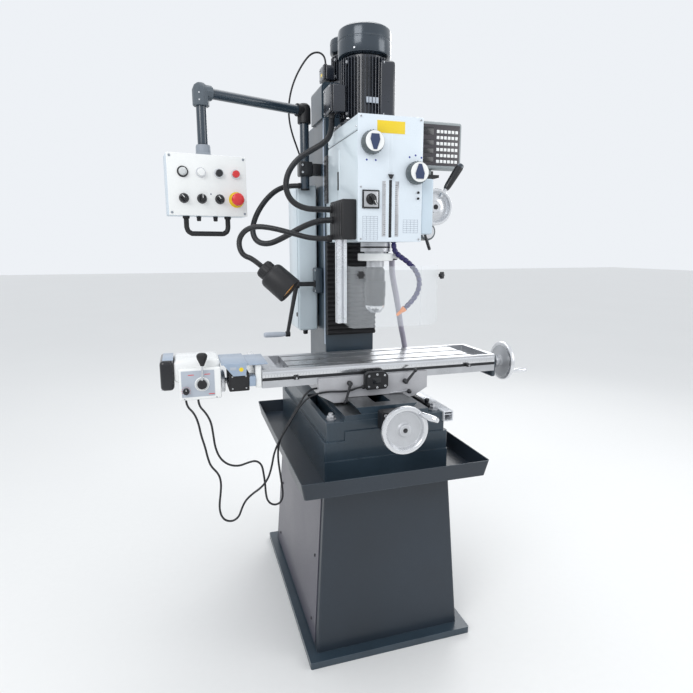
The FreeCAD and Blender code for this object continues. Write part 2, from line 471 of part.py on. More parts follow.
def make_guard():
    gx, gy = GUARD_POST
    block = box(-152, -HEAD_X - 0.3, -332, -190, 1403, 1525, 4, "Z")
    slots = [box(-153, -149, -322 + 24 * i, -310 + 24 * i, 1412, 1516) for i in range(6)]
    for s in slots:
        block = block.cut(s)
    profile = box(gx - 15, gx + 15, gy - 15, gy + 15, 1136, 1402.7, 2)
    for a in range(4):
        groove = box(gx - 4, gx + 4, gy - 16, gy - 9, 1135, 1403)
        groove.rotate(V(gx, gy, 0), Z, 90 * a)
        profile = profile.cut(groove)
    pin = cyl((gx, gy, 1390), Z, GUARD_PIN_R, 40)
    block = block.cut(cyl((gx, gy, 1402), Z, GUARD_PIN_R + RUNNING_FIT, 30))
    lamp_socket = cyl((-152, -205, 1407), -X, 12, 16)
    put("guard_switch_block", block, lamp_socket)
    t = 4
    pts = [(-127.8, -274), (-127.8, -304), (-136, -348), (-124, -367), (-104, -371), (100, -371), (128, -367),
           (188, -312)]
    outer = [V(x, y, GUARD_Z0) for x, y in pts]
    inner = []
    for i, p in enumerate(outer):
        a = outer[max(i - 1, 0)]
        b = outer[min(i + 1, len(outer) - 1)]
        n = (b - a).normalize().cross(Z) * -1
        inner.append(p + n * t)
    sheet = Part.Face(Part.makePolygon(outer + inner[::-1] + outer[:1])).extrude(Z * (GUARD_Z1 - GUARD_Z0))
    sheet = sheet.cut(box(-112, -104, -380, -350, GUARD_Z0 + 20, 1288))
    knob_left = cyl((-108, -371.4, 1295), -Y, 13, 16)
    knob_right = cyl((190, -318, 1287), V(0.67, -0.74, 0), 13, 16)
    put("guard_screen", sheet, profile.fuse(pin).removeSplitter(), knob_left, knob_right)


def make_spindle():
    quill = cyl((0, SPINDLE_Y, 1333), Z, QUILL_R, 300).cut(cyl((0, SPINDLE_Y, 1332), Z, 20.05, 302))
    clamp = ring((0, SPINDLE_Y, 1334), Z, 60, QUILL_R, 25)
    arm = box(40, 92, SPINDLE_Y - 20, SPINDLE_Y + 20, 1340, 1359, 3).cut(cyl((0, SPINDLE_Y, 1330), Z, 60, 40))
    put("quill", quill, clamp, arm)
    spindle = cyl((0, SPINDLE_Y, 1313), Z, 20, 330).fuse(cyl((0, SPINDLE_Y, 1313), Z, 30, 19.5))
    chuck = turned([(0, 130), (26, 130), (33, 118), (33, 84), (CHUCK_R, 82), (CHUCK_R, 30), (34, 26), (34, 0),
                    (0, 0)], (0, SPINDLE_Y, 1182.8), Z)
    nose = turned([(6.5, 0), (22, 0), (34, 18), (34, 24.6), (6.5, 24.6)], (0, SPINDLE_Y, 1158), Z)
    put("drill_chuck", spindle.removeSplitter(), chuck.cut(cyl((0, SPINDLE_Y, 1180), Z, 6.5, 60)), nose)


# ---- lamp --------------------------------------------------------------------------------------------------
LAMP_REAR, LAMP_FRONT = (-384, -204, 1317), (-302, -246, 1240)


def make_lamp():
    axis = V(*LAMP_FRONT) - V(*LAMP_REAR)
    n = axis.Length
    shell = turned([(0, 0), (10, 0), (29, 4), (30, 30), (40, 34), (44, 46), (45, n), (38, n), (36, n - 14),
                    (0, n - 14)], LAMP_REAR, axis)
    put("lamp_head", shell)


# ---- pendant -----------------------------------------------------------------------------------------------
def swing(shape):
    """Turn a pendant piece made square to the frame to the pendant's yaw."""
    shape.rotate(V(DROP[0], DROP[1], 0), Z, BOX_YAW)
    return shape


def make_pendant():
    px, py = POST
    tube = cyl((px, py, POST_Z0), Z, 17, ARM_Z - 46 - POST_Z0)
    clamp = box(px - 26, px + 26, py - 26, py + 22, 1646, 1700, 6).cut(cyl((px, py, 1640), Z, 17, 70))
    foot = box(px + 26.2, -COL_X - 0.2, py - 20, py + 18, 1652, 1694)
    put("pendant_post", tube, clamp, foot)
    dx, dy = DROP
    u = (V(dx, dy, 0) - V(px, py, 0)).normalize()
    elbow = [turned([(0, 0), (25, 0), (25, 66), (20, 72), (0, 72)], (x, y, z), a)
             for x, y, z, a in ((px, py, ARM_Z - 45.5, Z), (dx, dy, ARM_Z - 45, Z))]
    a0, a1 = V(px, py, ARM_Z) + u * 18, V(dx, dy, ARM_Z) - u * 18
    arm = rod(tuple(a0), tuple(a1), 17)
    drop = cyl((dx, dy, 1718), Z, 17, ARM_Z - 1718 - 40)
    put("pendant_arm", elbow[0].fuse([arm, elbow[1], drop]).removeSplitter())
    x0, x1, y0, y1 = dx + 3 - BOX_W / 2, dx + 3 + BOX_W / 2, dy - BOX_D / 2, dy + BOX_D / 2
    case = box(x0, x1, y0, y1, BOX_Z0, BOX_Z1, 3, "XYZ")
    collar = cyl((dx, dy, BOX_Z1), Z, 27, 37.6)
    legs = [cyl((dx + 3 + s * 70, dy, 1432), Z, 8.5, BOX_Z0 - 1432 + 1) for s in (-1, 1)]
    bar = cyl((dx + 3 - 62, dy, 1424), X, 8.5, 124)
    bends = [Part.makeSphere(11, V(dx + 3 + s * 66, dy, 1428)) for s in (-1, 1)]
    pilot = cyl((dx + 3 + BUTTON_X[0], y0, ROW1_Z), -Y, 17, 14)
    handle = bar.fuse(legs + bends).cut(case)
    put("pendant_box", swing(case), swing(collar), swing(handle.removeSplitter()), swing(pilot))
    for name, x in zip(("button_white", "button_black", "button_red"), BUTTON_X[1:]):
        put(name, swing(cyl((dx + 3 + x, y0 - 2.5, ROW1_Z), -Y, BUTTON_R, BUTTON_R)))
    for i in range(3):
        x = dx + 3 + BUTTON_X[i]
        base = cyl((x, y0 - 0.3, ROW2_Z), -Y, 15, 8)
        bar = box(x - 4, x + 4, y0 - 24, y0 - 8, ROW2_Z - 12, ROW2_Z + 12, 2, "Y")
        put(f"selector_{i + 1}", swing(base.fuse(bar).removeSplitter()))
    x = dx + 3 + BUTTON_X[3]
    stop = turned([(0, 0), (10, 0), (10, 12), (21, 16), (21, 24), (15, 30), (0, 31)], (x, y0 - 6, ROW2_Z), -Y)
    put("emergency_stop", swing(stop))


# ---- fasteners ---------------------------------------------------------------------------------------------
def make_fasteners():
    """Hold-down nuts on the corner blocks and the cover's screws, as one group of separate solids."""
    for sx in (-1, 1):
        turns = [k * math.pi / 3 for k in range(6)]
        hexagon = [(sx * BLOCK_BOLT_X + 13 * math.cos(a), CAST_Y0 + 50 + 13 * math.sin(a), BLOCK_Z + 0.1)
                   for a in turns]
        nut = prism(hexagon, Z, 12)
        stud = cyl((sx * BLOCK_BOLT_X, CAST_Y0 + 50, BLOCK_Z + 12.2), Z, 8, 10)
        put("fixing_screws", nut, stud)
    for z, y in ((90, -300), (330, -300), (560, -300), (90, 300), (330, 300), (560, 300)):
        put("fixing_screws", cyl((-cabinet_half_width(z) - 3.2, y, z), -X, 6, 3))


# ---- cords -------------------------------------------------------------------------------------------------
# Each route is listed from where the cord leaves the machine to where it goes back in.
CORDS = {
    "conduit_motor": (20, [
        (-119, -99, 1804.8), (-119, -99, 1768), (-140, -101, 1732), (-188, -104, 1704), (-240, -110, 1672),
        (-278, -120, 1625), (-291, -136, 1572), (-276, -160, 1526), (-238, -190, 1503), (-194, -212, 1500),
        (-152.2, -212, 1500)]),
    "conduit_pendant": (20, [
        (-152.2, -222, 1466), (-194, -222, 1466), (-246, -190, 1446), (-298, -142, 1412), (-344, -90, 1388),
        (-378, -36, 1398), (-386, 10, 1438), (-366, 46, 1492), (-326, 84, 1548), (-276, 122, 1592),
        (-224, 141, 1612), (-177.2, 141, 1612)]),
    "cable_z_motor": (7, [
        (-75, 140, 2056.2), (-75, 140, 2078), (-95, 145, 2098), (-128, 151, 2092), (-158, 160, 2056),
        (-186, 168, 2006), (-203, 176, 1956), (-210, 184, 1906), (-207, 192, 1856), (-193, 200, 1806),
        (-172, 207, 1756), (-155, 213, 1712), (-150, 215, 1674), (-150, 215, 1640)]),
    "lamp_gooseneck": (18, [
        (-168, -205, 1407), (-220, -205, 1407), (-277, -203, 1422), (-330, -200, 1436), (-378, -198, 1444),
        (-412, -197, 1442), (-438, -196, 1428), (-453, -194, 1404), (-453, -192, 1376), (-440, -190, 1352),
        (-411.4, -190, 1342.6), (-384.2, -203.9, 1317.2)]),
    "coolant_hose": (18, [
        (52, -250, 1395.8), (52, -250, 1372), (70, -250, 1352), (100, -250, 1334), (132, -250, 1306),
        (152, -248, 1270),
        (150, -244, 1228), (126, -238, 1190), (96, -230, 1162)]),
    "return_hose": (22, [
        (91, -140, 1334), (91, -140, 1292), (108, -124, 1242), (133, -90, 1190), (162, -45, 1130),
        (192, 5, 1070), (222, 50, 1018), (246, 84, 962), (262, 100, 896), (272, 106, 830), (276, 108, 764),
        (277, 109, 698), (277, 109, 632)]),
    "feed_cable_left": (7, [
        (-641, -200, 896.8), (-641, -200, 874), (-618, -201, 848), (-606, -202, 812), (-600, -203, 770),
        (-589, -204, 728), (-583, -205, 692), (-574, -206, 660), (-550, -208, 632), (-543, -210, 600),
        (-547, -212, 560), (-553, -214, 522), (-551, -215, 490), (-538, -216, 465), (-512, -217, 457),
        (-490, -218, 471), (-480, -218, 499), (-467, -219, 527), (-443, -220, 549), (-412, -220, 567),
        (-387, -220, 596), (-373, -220, 640), (-364, -220, 690), (-341, -221, 738), (-312, -222, 784),
        (-284, -223, 830), (-255, -225, 868), (-218, -226, 885), (-172, -226, 890), (-128, -226, 886),
        (-92, -227, 886), (-67, -229, 897), (-43.2, -229, 897)]),
    "feed_cable_right": (7, [
        (-603, -200, 896.8), (-603, -200, 872), (-582, -200, 846), (-566, -200, 812), (-561, -200, 766),
        (-557, -200, 722), (-543, -201, 682), (-516, -202, 656), (-482, -203, 648), (-450, -204, 658),
        (-424, -205, 662), (-405, -206, 645), (-400, -207, 612), (-396, -208, 574), (-395, -209, 538),
        (-389, -209, 508), (-368, -210, 491), (-344, -210, 497), (-335, -210, 522), (-338, -210, 562),
        (-344, -210, 612), (-350, -210, 664), (-347, -210, 714), (-328, -209, 758), (-300, -208, 802),
        (-272, -206, 846), (-248, -200, 880), (-224, -195, 896), (-204.2, -195, 896)]),
}


def make_cords():
    for node, (diameter, points) in CORDS.items():
        cord(node, points, diameter)


def main():
    os.makedirs("parts", exist_ok=True)
    for make in (make_stand, make_base_casting, make_y_screw, make_saddle, make_table, make_x_screw, make_power_feed,
                 make_column, make_head, make_lamp, make_pendant, make_fasteners, make_cords):
        make()
    for node, solids in SHAPES.items():
        shape = solids[0] if len(solids) == 1 else Part.makeCompound(solids)
        if not shape.isValid() or any(s.Volume <= 0 for s in shape.Solids):
            print("CHECK", node)
        shape.exportStep(f"parts/{node}.step")
    print(len(SHAPES), "nodes")


main()
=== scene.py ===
"""Looks of the milling machine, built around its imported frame.

Blender objects are in metres. Pieces are built in millimetres in the frame's own axes
(+X to the operator's right, +Y towards the column, +Z up) and scaled once, when finished.
"""
import math
from types import SimpleNamespace

import bmesh
import bpy
from mathutils import Matrix, Vector


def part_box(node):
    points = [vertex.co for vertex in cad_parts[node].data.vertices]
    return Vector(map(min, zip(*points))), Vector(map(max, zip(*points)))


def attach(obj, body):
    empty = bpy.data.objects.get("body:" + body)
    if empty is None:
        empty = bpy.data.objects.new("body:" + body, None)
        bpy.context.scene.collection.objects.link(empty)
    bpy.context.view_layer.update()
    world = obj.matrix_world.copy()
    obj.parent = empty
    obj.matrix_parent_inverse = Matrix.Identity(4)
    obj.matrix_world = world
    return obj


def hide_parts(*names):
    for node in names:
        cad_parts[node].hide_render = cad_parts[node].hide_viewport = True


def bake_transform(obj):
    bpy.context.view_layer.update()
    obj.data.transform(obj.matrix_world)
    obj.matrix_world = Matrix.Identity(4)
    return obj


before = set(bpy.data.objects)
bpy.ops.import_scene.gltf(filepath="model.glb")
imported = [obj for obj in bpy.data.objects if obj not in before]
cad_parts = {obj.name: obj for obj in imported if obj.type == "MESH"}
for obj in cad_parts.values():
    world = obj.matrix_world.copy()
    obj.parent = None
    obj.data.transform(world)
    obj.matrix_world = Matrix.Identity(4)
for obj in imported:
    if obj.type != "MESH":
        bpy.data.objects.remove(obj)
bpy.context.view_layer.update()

MM = 0.001
X, Y, Z = Vector((1, 0, 0)), Vector((0, 1, 0)), Vector((0, 0, 1))
SHARP = math.radians(32)


def place(node):
    """A CAD node's box in millimetres."""
    lo, hi = (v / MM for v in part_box(node))
    mid = (lo + hi) / 2
    return SimpleNamespace(x0=lo.x, y0=lo.y, z0=lo.z, x1=hi.x, y1=hi.y, z1=hi.z, xc=mid.x, yc=mid.y,
                           zc=mid.z)


# ---- materials ---------------------------------------------------------------------------------------------
def node(tree, kind, **inputs):
    """A shader node with some of its inputs set; an input is a value or another node's output."""
    made = tree.nodes.new(kind)
    for name, value in inputs.items():
        socket = made.inputs[name.replace("_", " ")]
        if isinstance(value, bpy.types.NodeSocket):
            tree.links.new(value, socket)
        else:
            socket.default_value = value
    return made


def spread(tree, value, low, high, start=0.3, end=0.7):
    """Maps a noise value onto low to high."""
    made = node(tree, "ShaderNodeMapRange", Value=value)
    for socket, v in zip(made.inputs[1:5], (start, end, low, high)):
        socket.default_value = v
    return made.outputs[0]


def mix(tree, share, a, b):
    made = tree.nodes.new("ShaderNodeMix")
    made.data_type = "RGBA"
    for index, value in ((0, share), (6, a), (7, b)):
        if isinstance(value, bpy.types.NodeSocket):
            tree.links.new(value, made.inputs[index])
        else:
            made.inputs[index].default_value = value
    return made.outputs[2]


def maths(tree, operation, a, b):
    made = tree.nodes.new("ShaderNodeMath")
    made.operation = operation
    made.use_clamp = True
    for socket, value in zip(made.inputs, (a, b)):
        if isinstance(value, bpy.types.NodeSocket):
            tree.links.new(value, socket)
        else:
            socket.default_value = value
    return made.outputs[0]


def shade(colour, factor):
    return tuple(min(1.0, c * factor) for c in colour[:3]) + (1.0,)


def edge_mask(tree, noise, width):
    """1 along convex and concave edges, broken up by a noise, and 0 on flats."""
    rounded = tree.nodes.new("ShaderNodeBevel")
    rounded.samples = 4
    rounded.inputs["Radius"].default_value = width
    plain = tree.nodes.new("ShaderNodeNewGeometry")
    dot = tree.nodes.new("ShaderNodeVectorMath")
    dot.operation = "DOT_PRODUCT"
    tree.links.new(rounded.outputs[0], dot.inputs[0])
    tree.links.new(plain.outputs["Normal"], dot.inputs[1])
    edge = spread(tree, dot.outputs["Value"], 1.0, 0.0, 0.86, 0.985)
    return maths(tree, "MULTIPLY", edge, spread(tree, noise, 0.15, 1.0, 0.35, 0.65))


def surface(name, colour, rough=0.45, metal=0.0, coat=0.0, tint=0.1, tint_scale=7.0, grain=0.12,
            grain_scale=420.0,
            stretch=(1, 1, 1), edge_wear_and_highlight=None, edge_wear_and_highlight_width=0.0016, machined=None):
    """A procedural finish: broad colour drift, fine grain in bump and roughness, and optional lighter edges,
    partly worn paint and partly painted highlight.

    machined is (height in metres, colour): level faces above that height are bare ground metal."""
    material = bpy.data.materials.new(name)
    material.use_nodes = True
    tree = material.node_tree
    out = tree.nodes["Principled BSDF"]
    coords = node(tree, "ShaderNodeTexCoord").outputs["Object"]
    stretched = node(tree, "ShaderNodeMapping", Vector=coords, Scale=stretch).outputs[0]
    broad = node(tree, "ShaderNodeTexNoise", Vector=coords, Scale=tint_scale, Detail=5.0).outputs[0]
    fine = node(tree, "ShaderNodeTexNoise", Vector=stretched, Scale=grain_scale, Detail=3.0).outputs[0]
    drift = spread(tree, broad, 0.0, 1.0)
    base = mix(tree, drift, shade(colour, 1 - tint), shade(colour, 1 + tint))
    mottled = maths(tree, "MULTIPLY", spread(tree, fine, 0.0, 1.0), 0.35)
    base = mix(tree, mottled, base, shade(colour, 1 - 1.6 * tint))
    roughness = maths(tree, "ADD", spread(tree, broad, rough - 0.06, rough + 0.04),
                      spread(tree, fine, 0.0, 0.05))
    metallic = metal
    if machined:
        height, bare = machined
        geometry = tree.nodes.new("ShaderNodeNewGeometry")
        position = node(tree, "ShaderNodeSeparateXYZ", Vector=coords).outputs[2]
        up = node(tree, "ShaderNodeSeparateXYZ", Vector=geometry.outputs["Normal"]).outputs[2]
        level = maths(tree, "MULTIPLY", maths(tree, "GREATER_THAN", position, height),
                      maths(tree, "GREATER_THAN", up, 0.9))
        base = mix(tree, level, base,
                   mix(tree, spread(tree, fine, 0.0, 1.0), shade(bare, 0.75), shade(bare, 1.1)))
        metallic = level
    # lighter colour along edges: partly worn paint, partly a painted edge highlight
    if edge_wear_and_highlight:
        base = mix(tree, edge_mask(tree, broad, edge_wear_and_highlight_width), base, edge_wear_and_highlight + (1.0,))
    tree.links.new(base, out.inputs["Base Color"])
    tree.links.new(roughness, out.inputs["Roughness"])
    if isinstance(metallic, bpy.types.NodeSocket):
        tree.links.new(metallic, out.inputs["Metallic"])
    else:
        out.inputs["Metallic"].default_value = metallic
    out.inputs["Coat Weight"].default_value = coat
    out.inputs["Coat Roughness"].default_value = 0.12
    bump = node(tree, "ShaderNodeBump", Strength=grain, Distance=0.0006, Height=fine)
    tree.links.new(bump.outputs[0], out.inputs["Normal"])
    return material


def clear_sheet(name, colour):
    """Polycarbonate: mostly see-through, with faint scratches in its gloss."""
    material = surface(name, colour, rough=0.1, tint=0.02, grain=0.02, grain_scale=90.0, stretch=(1, 1, 6))
    shader = material.node_tree.nodes["Principled BSDF"]
    shader.inputs["Alpha"].default_value = 0.13
    shader.inputs["IOR"].default_value = 1.5
    return material


STEEL_LINES = (1, 26, 26)
slate = surface("slate_enamel", (0.026, 0.045, 0.064), 0.36, coat=0.35, tint=0.16, grain=0.3,
                grain_scale=230.0,
                edge_wear_and_highlight=(0.15, 0.20, 0.25))
casting_paint = surface("casting_enamel", (0.024, 0.043, 0.062), 0.38, coat=0.3, tint=0.18, grain=0.5,
                        grain_scale=160.0, edge_wear_and_highlight=(0.17, 0.23, 0.28), machined=(0.8362, (0.30, 0.31, 0.32)))
sheet_slate = surface("sheet_enamel", (0.015, 0.024, 0.036), 0.40, coat=0.12, tint=0.2, tint_scale=3.0,
                      grain=0.15,
                      grain_scale=300.0, edge_wear_and_highlight=(0.13, 0.17, 0.20))
side_slate = surface("side_cover_enamel", (0.060, 0.056, 0.078), 0.42, coat=0.25, tint=0.15, tint_scale=3.0,
                     grain=0.2, grain_scale=260.0, edge_wear_and_highlight=(0.2, 0.2, 0.24))
pale = surface("pale_enamel", (0.66, 0.75, 0.80), 0.33, coat=0.4, tint=0.035, grain=0.22, grain_scale=300.0,
               edge_wear_and_highlight=(0.86, 0.90, 0.92))
pale_plate = surface("front_plate_film", (0.72, 0.79, 0.85), 0.28, coat=0.3, tint=0.03, grain=0.05)
motor_black = surface("motor_enamel", (0.016, 0.020, 0.030), 0.26, coat=0.5, tint=0.2, grain=0.25,
                      grain_scale=200.0, edge_wear_and_highlight=(0.10, 0.12, 0.15))
fan_grey = surface("fan_cover_enamel", (0.030, 0.044, 0.060), 0.2, metal=0.35, coat=0.6, tint=0.14,
                   grain=0.1,
                   edge_wear_and_highlight=(0.25, 0.28, 0.32))
ground_steel = surface("ground_steel", (0.56, 0.57, 0.59), 0.3, metal=0.85, tint=0.12, tint_scale=11.0,
                       grain=0.2,
                       grain_scale=120.0, stretch=STEEL_LINES, edge_wear_and_highlight=(0.8, 0.81, 0.82))
saddle_grey = surface("saddle_finish", (0.50, 0.50, 0.52), 0.38, metal=0.25, tint=0.1, tint_scale=12.0,
                      grain=0.3,
                      grain_scale=200.0, edge_wear_and_highlight=(0.74, 0.75, 0.76))
aluminium = surface("wheel_aluminium", (0.72, 0.73, 0.75), 0.24, metal=0.75, tint=0.05, grain=0.12,
                    edge_wear_and_highlight=(0.93, 0.93, 0.94))
cast_wheel = surface("wheel_casting", (0.56, 0.57, 0.59), 0.42, metal=0.5, tint=0.08, tint_scale=18.0,
                     grain=0.35,
                     grain_scale=240.0, edge_wear_and_highlight=(0.86, 0.87, 0.88), edge_wear_and_highlight_width=0.003)
extrusion = surface("anodised_extrusion", (0.78, 0.80, 0.83), 0.28, metal=0.6, tint=0.05, grain=0.12,
                    grain_scale=140.0, stretch=(20, 20, 1))
chrome = surface("bright_steel", (0.75, 0.76, 0.78), 0.14, metal=0.95, tint=0.06, grain=0.05)
black_steel = surface("blackened_steel", (0.020, 0.021, 0.024), 0.32, metal=0.4, coat=0.2, tint=0.2,
                      grain=0.2,
                      edge_wear_and_highlight=(0.16, 0.16, 0.17))
black_plastic = surface("black_plastic", (0.010, 0.010, 0.012), 0.48, tint=0.15, grain=0.35,
                        grain_scale=520.0)
gloss_black = surface("gloss_black", (0.007, 0.008, 0.011), 0.20, coat=0.25, tint=0.15, grain=0.05)
elbow_grey = surface("elbow_plastic", (0.085, 0.105, 0.125), 0.45, tint=0.12, grain=0.4, grain_scale=480.0)
tube_slate = surface("pendant_tube", (0.022, 0.038, 0.056), 0.2, coat=0.5, tint=0.1, grain=0.08)
black_rubber = surface("bellows_rubber", (0.012, 0.012, 0.014), 0.62, tint=0.2, grain=0.5,
                       grain_scale=260.0)
conduit_black = surface("conduit_black", (0.009, 0.010, 0.013), 0.36, coat=0.08, tint=0.2, grain=0.15)
white_plastic = surface("white_moulding", (0.86, 0.87, 0.86), 0.25, coat=0.3, tint=0.025, grain=0.12)
membrane = surface("membrane_grey", (0.44, 0.48, 0.54), 0.4, tint=0.08, grain=0.1)
cover_blue = surface("cover_blue_grey", (0.33, 0.41, 0.52), 0.32, coat=0.3, tint=0.06, grain=0.12,
                     edge_wear_and_highlight=(0.55, 0.62, 0.70))
dro_grey = surface("readout_grey", (0.30, 0.33, 0.34), 0.45, tint=0.06, grain=0.35, grain_scale=480.0)
dro_panel = surface("readout_panel", (0.050, 0.045, 0.052), 0.35, tint=0.15, grain=0.08)
gearbox_blue = surface("gearbox_enamel", (0.58, 0.68, 0.76), 0.34, coat=0.3, tint=0.06, grain=0.25,
                       edge_wear_and_highlight=(0.75, 0.82, 0.87))
cylinder_grey = surface("fine_feed_grey", (0.085, 0.105, 0.115), 0.34, coat=0.3, tint=0.14, grain=0.3)
red_plastic = surface("red_plastic", (0.68, 0.028, 0.032), 0.28, coat=0.3, tint=0.08, grain=0.1)
yellow_plastic = surface("yellow_plastic", (0.85, 0.62, 0.02), 0.36, coat=0.15, tint=0.06, grain=0.08)
hose_blue = surface("hose_blue", (0.022, 0.016, 0.115), 0.36, coat=0.2, tint=0.2, grain=0.15)
orange_plastic = surface("nozzle_orange", (0.90, 0.26, 0.03), 0.36, tint=0.08, grain=0.1)
hose_grey = surface("braided_hose", (0.40, 0.38, 0.46), 0.42, tint=0.12, grain=0.4, grain_scale=300.0)
amber = surface("amber_lens", (0.85, 0.36, 0.04), 0.12, coat=0.6, tint=0.08, grain=0.05)
navy = surface("navy_print", (0.03, 0.05, 0.12), 0.4, tint=0.08, grain=0.03)
blue_print = surface("blue_print", (0.03, 0.05, 0.30), 0.35, tint=0.08, grain=0.03)
grey_print = surface("grey_print", (0.28, 0.31, 0.35), 0.5, tint=0.08, grain=0.03)
clear = clear_sheet("clear_polycarbonate", (0.86, 0.90, 0.93))
clear_lens = surface("pilot_lens", (0.62, 0.64, 0.64), 0.1, coat=0.6, tint=0.05, grain=0.05)


# ---- building pieces ---------------------------------------------------------------------------------------
def turn_to(axis, at):
    """The matrix that takes +Z at the origin to an axis at a point."""
    return Matrix.Translation(Vector(at)) @ Vector(axis).to_track_quat("Z", "Y").to_matrix().to_4x4()


class Piece:
    """One object made of closed solids, each with its own material."""

    def __init__(self, name):
        self.name, self.materials = name, []
        self.points, self.faces, self.paint = [], [], []

    def take(self, points, faces, material):
        if material not in self.materials:
            self.materials.append(material)
        start = len(self.points)
        self.points += [Vector(p) for p in points]
        self.faces += [[start + i for i in face] for face in faces]
        self.paint += [self.materials.index(material)] * len(faces)

    def box(self, x0, x1, y0, y1, z0, z1, material, r=0.0, segments=2, matrix=None):
        """A box with all its edges rounded by r."""
        made = bmesh.new()
        bmesh.ops.create_cube(made, size=1)
        size = Vector((x1 - x0, y1 - y0, z1 - z0))
        mid = Vector((x0 + x1, y0 + y1, z0 + z1)) / 2
        for v in made.verts:
            v.co = mid + v.co * size
        if r:
            r = min(r, 0.49 * min(size))
            bmesh.ops.bevel(made, geom=list(made.edges), offset=r, segments=segments, profile=0.5,
                            affect="EDGES")
        self.keep(made, material, matrix)

    def keep(self, made, material, matrix=None):
        made.verts.index_update()
        points = [matrix @ v.co if matrix else v.co.copy() for v in made.verts]
        self.take(points, [[v.index for v in f.verts] for f in made.faces], material)
        made.free()

    def lathe(self, profile, at, axis, material, segments=48):
        """A turned solid from (radius, height) points.

        Radius 0 is a pole, and without poles it is a ring."""
        matrix = turn_to(axis, at)
        points, rows = [], []
        for r, h in profile:
            count = segments if r > 1e-6 else 1
            rows.append([len(points) + i for i in range(count)])
            for i in range(count):
                a = 2 * math.pi * i / segments
                points.append(matrix @ Vector((r * math.cos(a), r * math.sin(a), h)))
        pairs = list(zip(rows, rows[1:]))
        if profile[0][0] > 1e-6:
            pairs.append((rows[-1], rows[0]))
        faces = []
        for low, high in pairs:
            for i in range(segments):
                j = (i + 1) % segments
                face = [low[i % len(low)], low[j % len(low)], high[j % len(high)], high[i % len(high)]]
                faces.append(list(dict.fromkeys(face)))
        self.take(points, [f for f in faces if len(f) > 2], material)

    def rod(self, a, b, r, material, segments=24, chamfer=0.6):
        """A round bar from a to b with chamfered ends."""
        a, b = Vector(a), Vector(b)
        n, c = (b - a).length, min(chamfer, r * 0.4)
        self.lathe([(0, 0), (r - c, 0), (r, c), (r, n - c), (r - c, n), (0, n)], a, b - a, material,
                   segments)

    def prism(self, outline, along, material):
        """A flat outline of 3-D points pushed along a vector."""
        count, along = len(outline), Vector(along)
        points = [Vector(p) for p in outline]
        points += [p + along for p in points]
        faces = [list(range(count)), list(range(2 * count - 1, count - 1, -1))]
        faces += [[i, (i + 1) % count, (i + 1) % count + count, i + count] for i in range(count)]
        self.take(points, faces, material)

    def screw(self, at, axis, r, material, sides=6):
        """A cap screw with a hexagon socket, its head's underside at a point."""
        h = 0.75 * r
        self.lathe([(0, 0), (r, 0), (r, h * 0.7), (r * 0.85, h), (r * 0.5, h), (0, h)], at, axis, material,
                   20)
        top = Vector(at) + Vector(axis).normalized() * h
        self.lathe([(0, 0), (r * 0.45, 0), (r * 0.45, 0.15), (0, 0.15)], top, axis, black_plastic, sides)

    def tube(self, path, radius, material, segments=14):
        """A tube along points; radius is a function of the distance along it."""
        rings, travelled = [], 0.0
        side = (path[1] - path[0]).orthogonal().normalized()
        for k, p in enumerate(path):
            ahead = (path[min(k + 1, len(path) - 1)] - path[max(k - 1, 0)]).normalized()
            side = (side - ahead * side.dot(ahead)).normalized()
            up = ahead.cross(side)
            if k:
                travelled += (p - path[k - 1]).length
            r = radius(travelled)
            rings.append([p + (side * math.cos(a) + up * math.sin(a)) * r
                          for a in (2 * math.pi * i / segments for i in range(segments))])
        points = [q for ring in rings for q in ring]
        faces = [list(range(segments)), [len(points) - segments + i for i in range(segments)]]
        for k in range(len(rings) - 1):
            for i in range(segments):
                j = (i + 1) % segments
                faces.append([k * segments + i, k * segments + j, (k + 1) * segments + j,
                              (k + 1) * segments + i])
        self.take(points, faces, material)

    def done(self, body, slot, *replaced):
        """Makes the object. body is a body's name, or None where the piece is left without a body."""
        mesh = bpy.data.meshes.new(self.name)
        mesh.from_pydata([p * MM for p in self.points], [], self.faces)
        for material in self.materials:
            mesh.materials.append(material)
        mesh.polygons.foreach_set("material_index", self.paint)
        made = bmesh.new()
        made.from_mesh(mesh)
        bmesh.ops.recalc_face_normals(made, faces=made.faces)
        made.to_mesh(mesh)
        made.free()
        mesh.polygons.foreach_set("use_smooth", [True] * len(mesh.polygons))
        mesh.set_sharp_from_angle(angle=SHARP)
        piece = bpy.data.objects.new(self.name, mesh)
        bpy.context.scene.collection.objects.link(piece)
        if body:
            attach(piece, body)
        if replaced:
            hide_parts(*replaced)
        return piece


def finish_cad(material, *names):
    """Gives CAD nodes their finish."""
    for name in names:
        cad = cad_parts[name]
        cad.data.materials.clear()
        cad.data.materials.append(material)


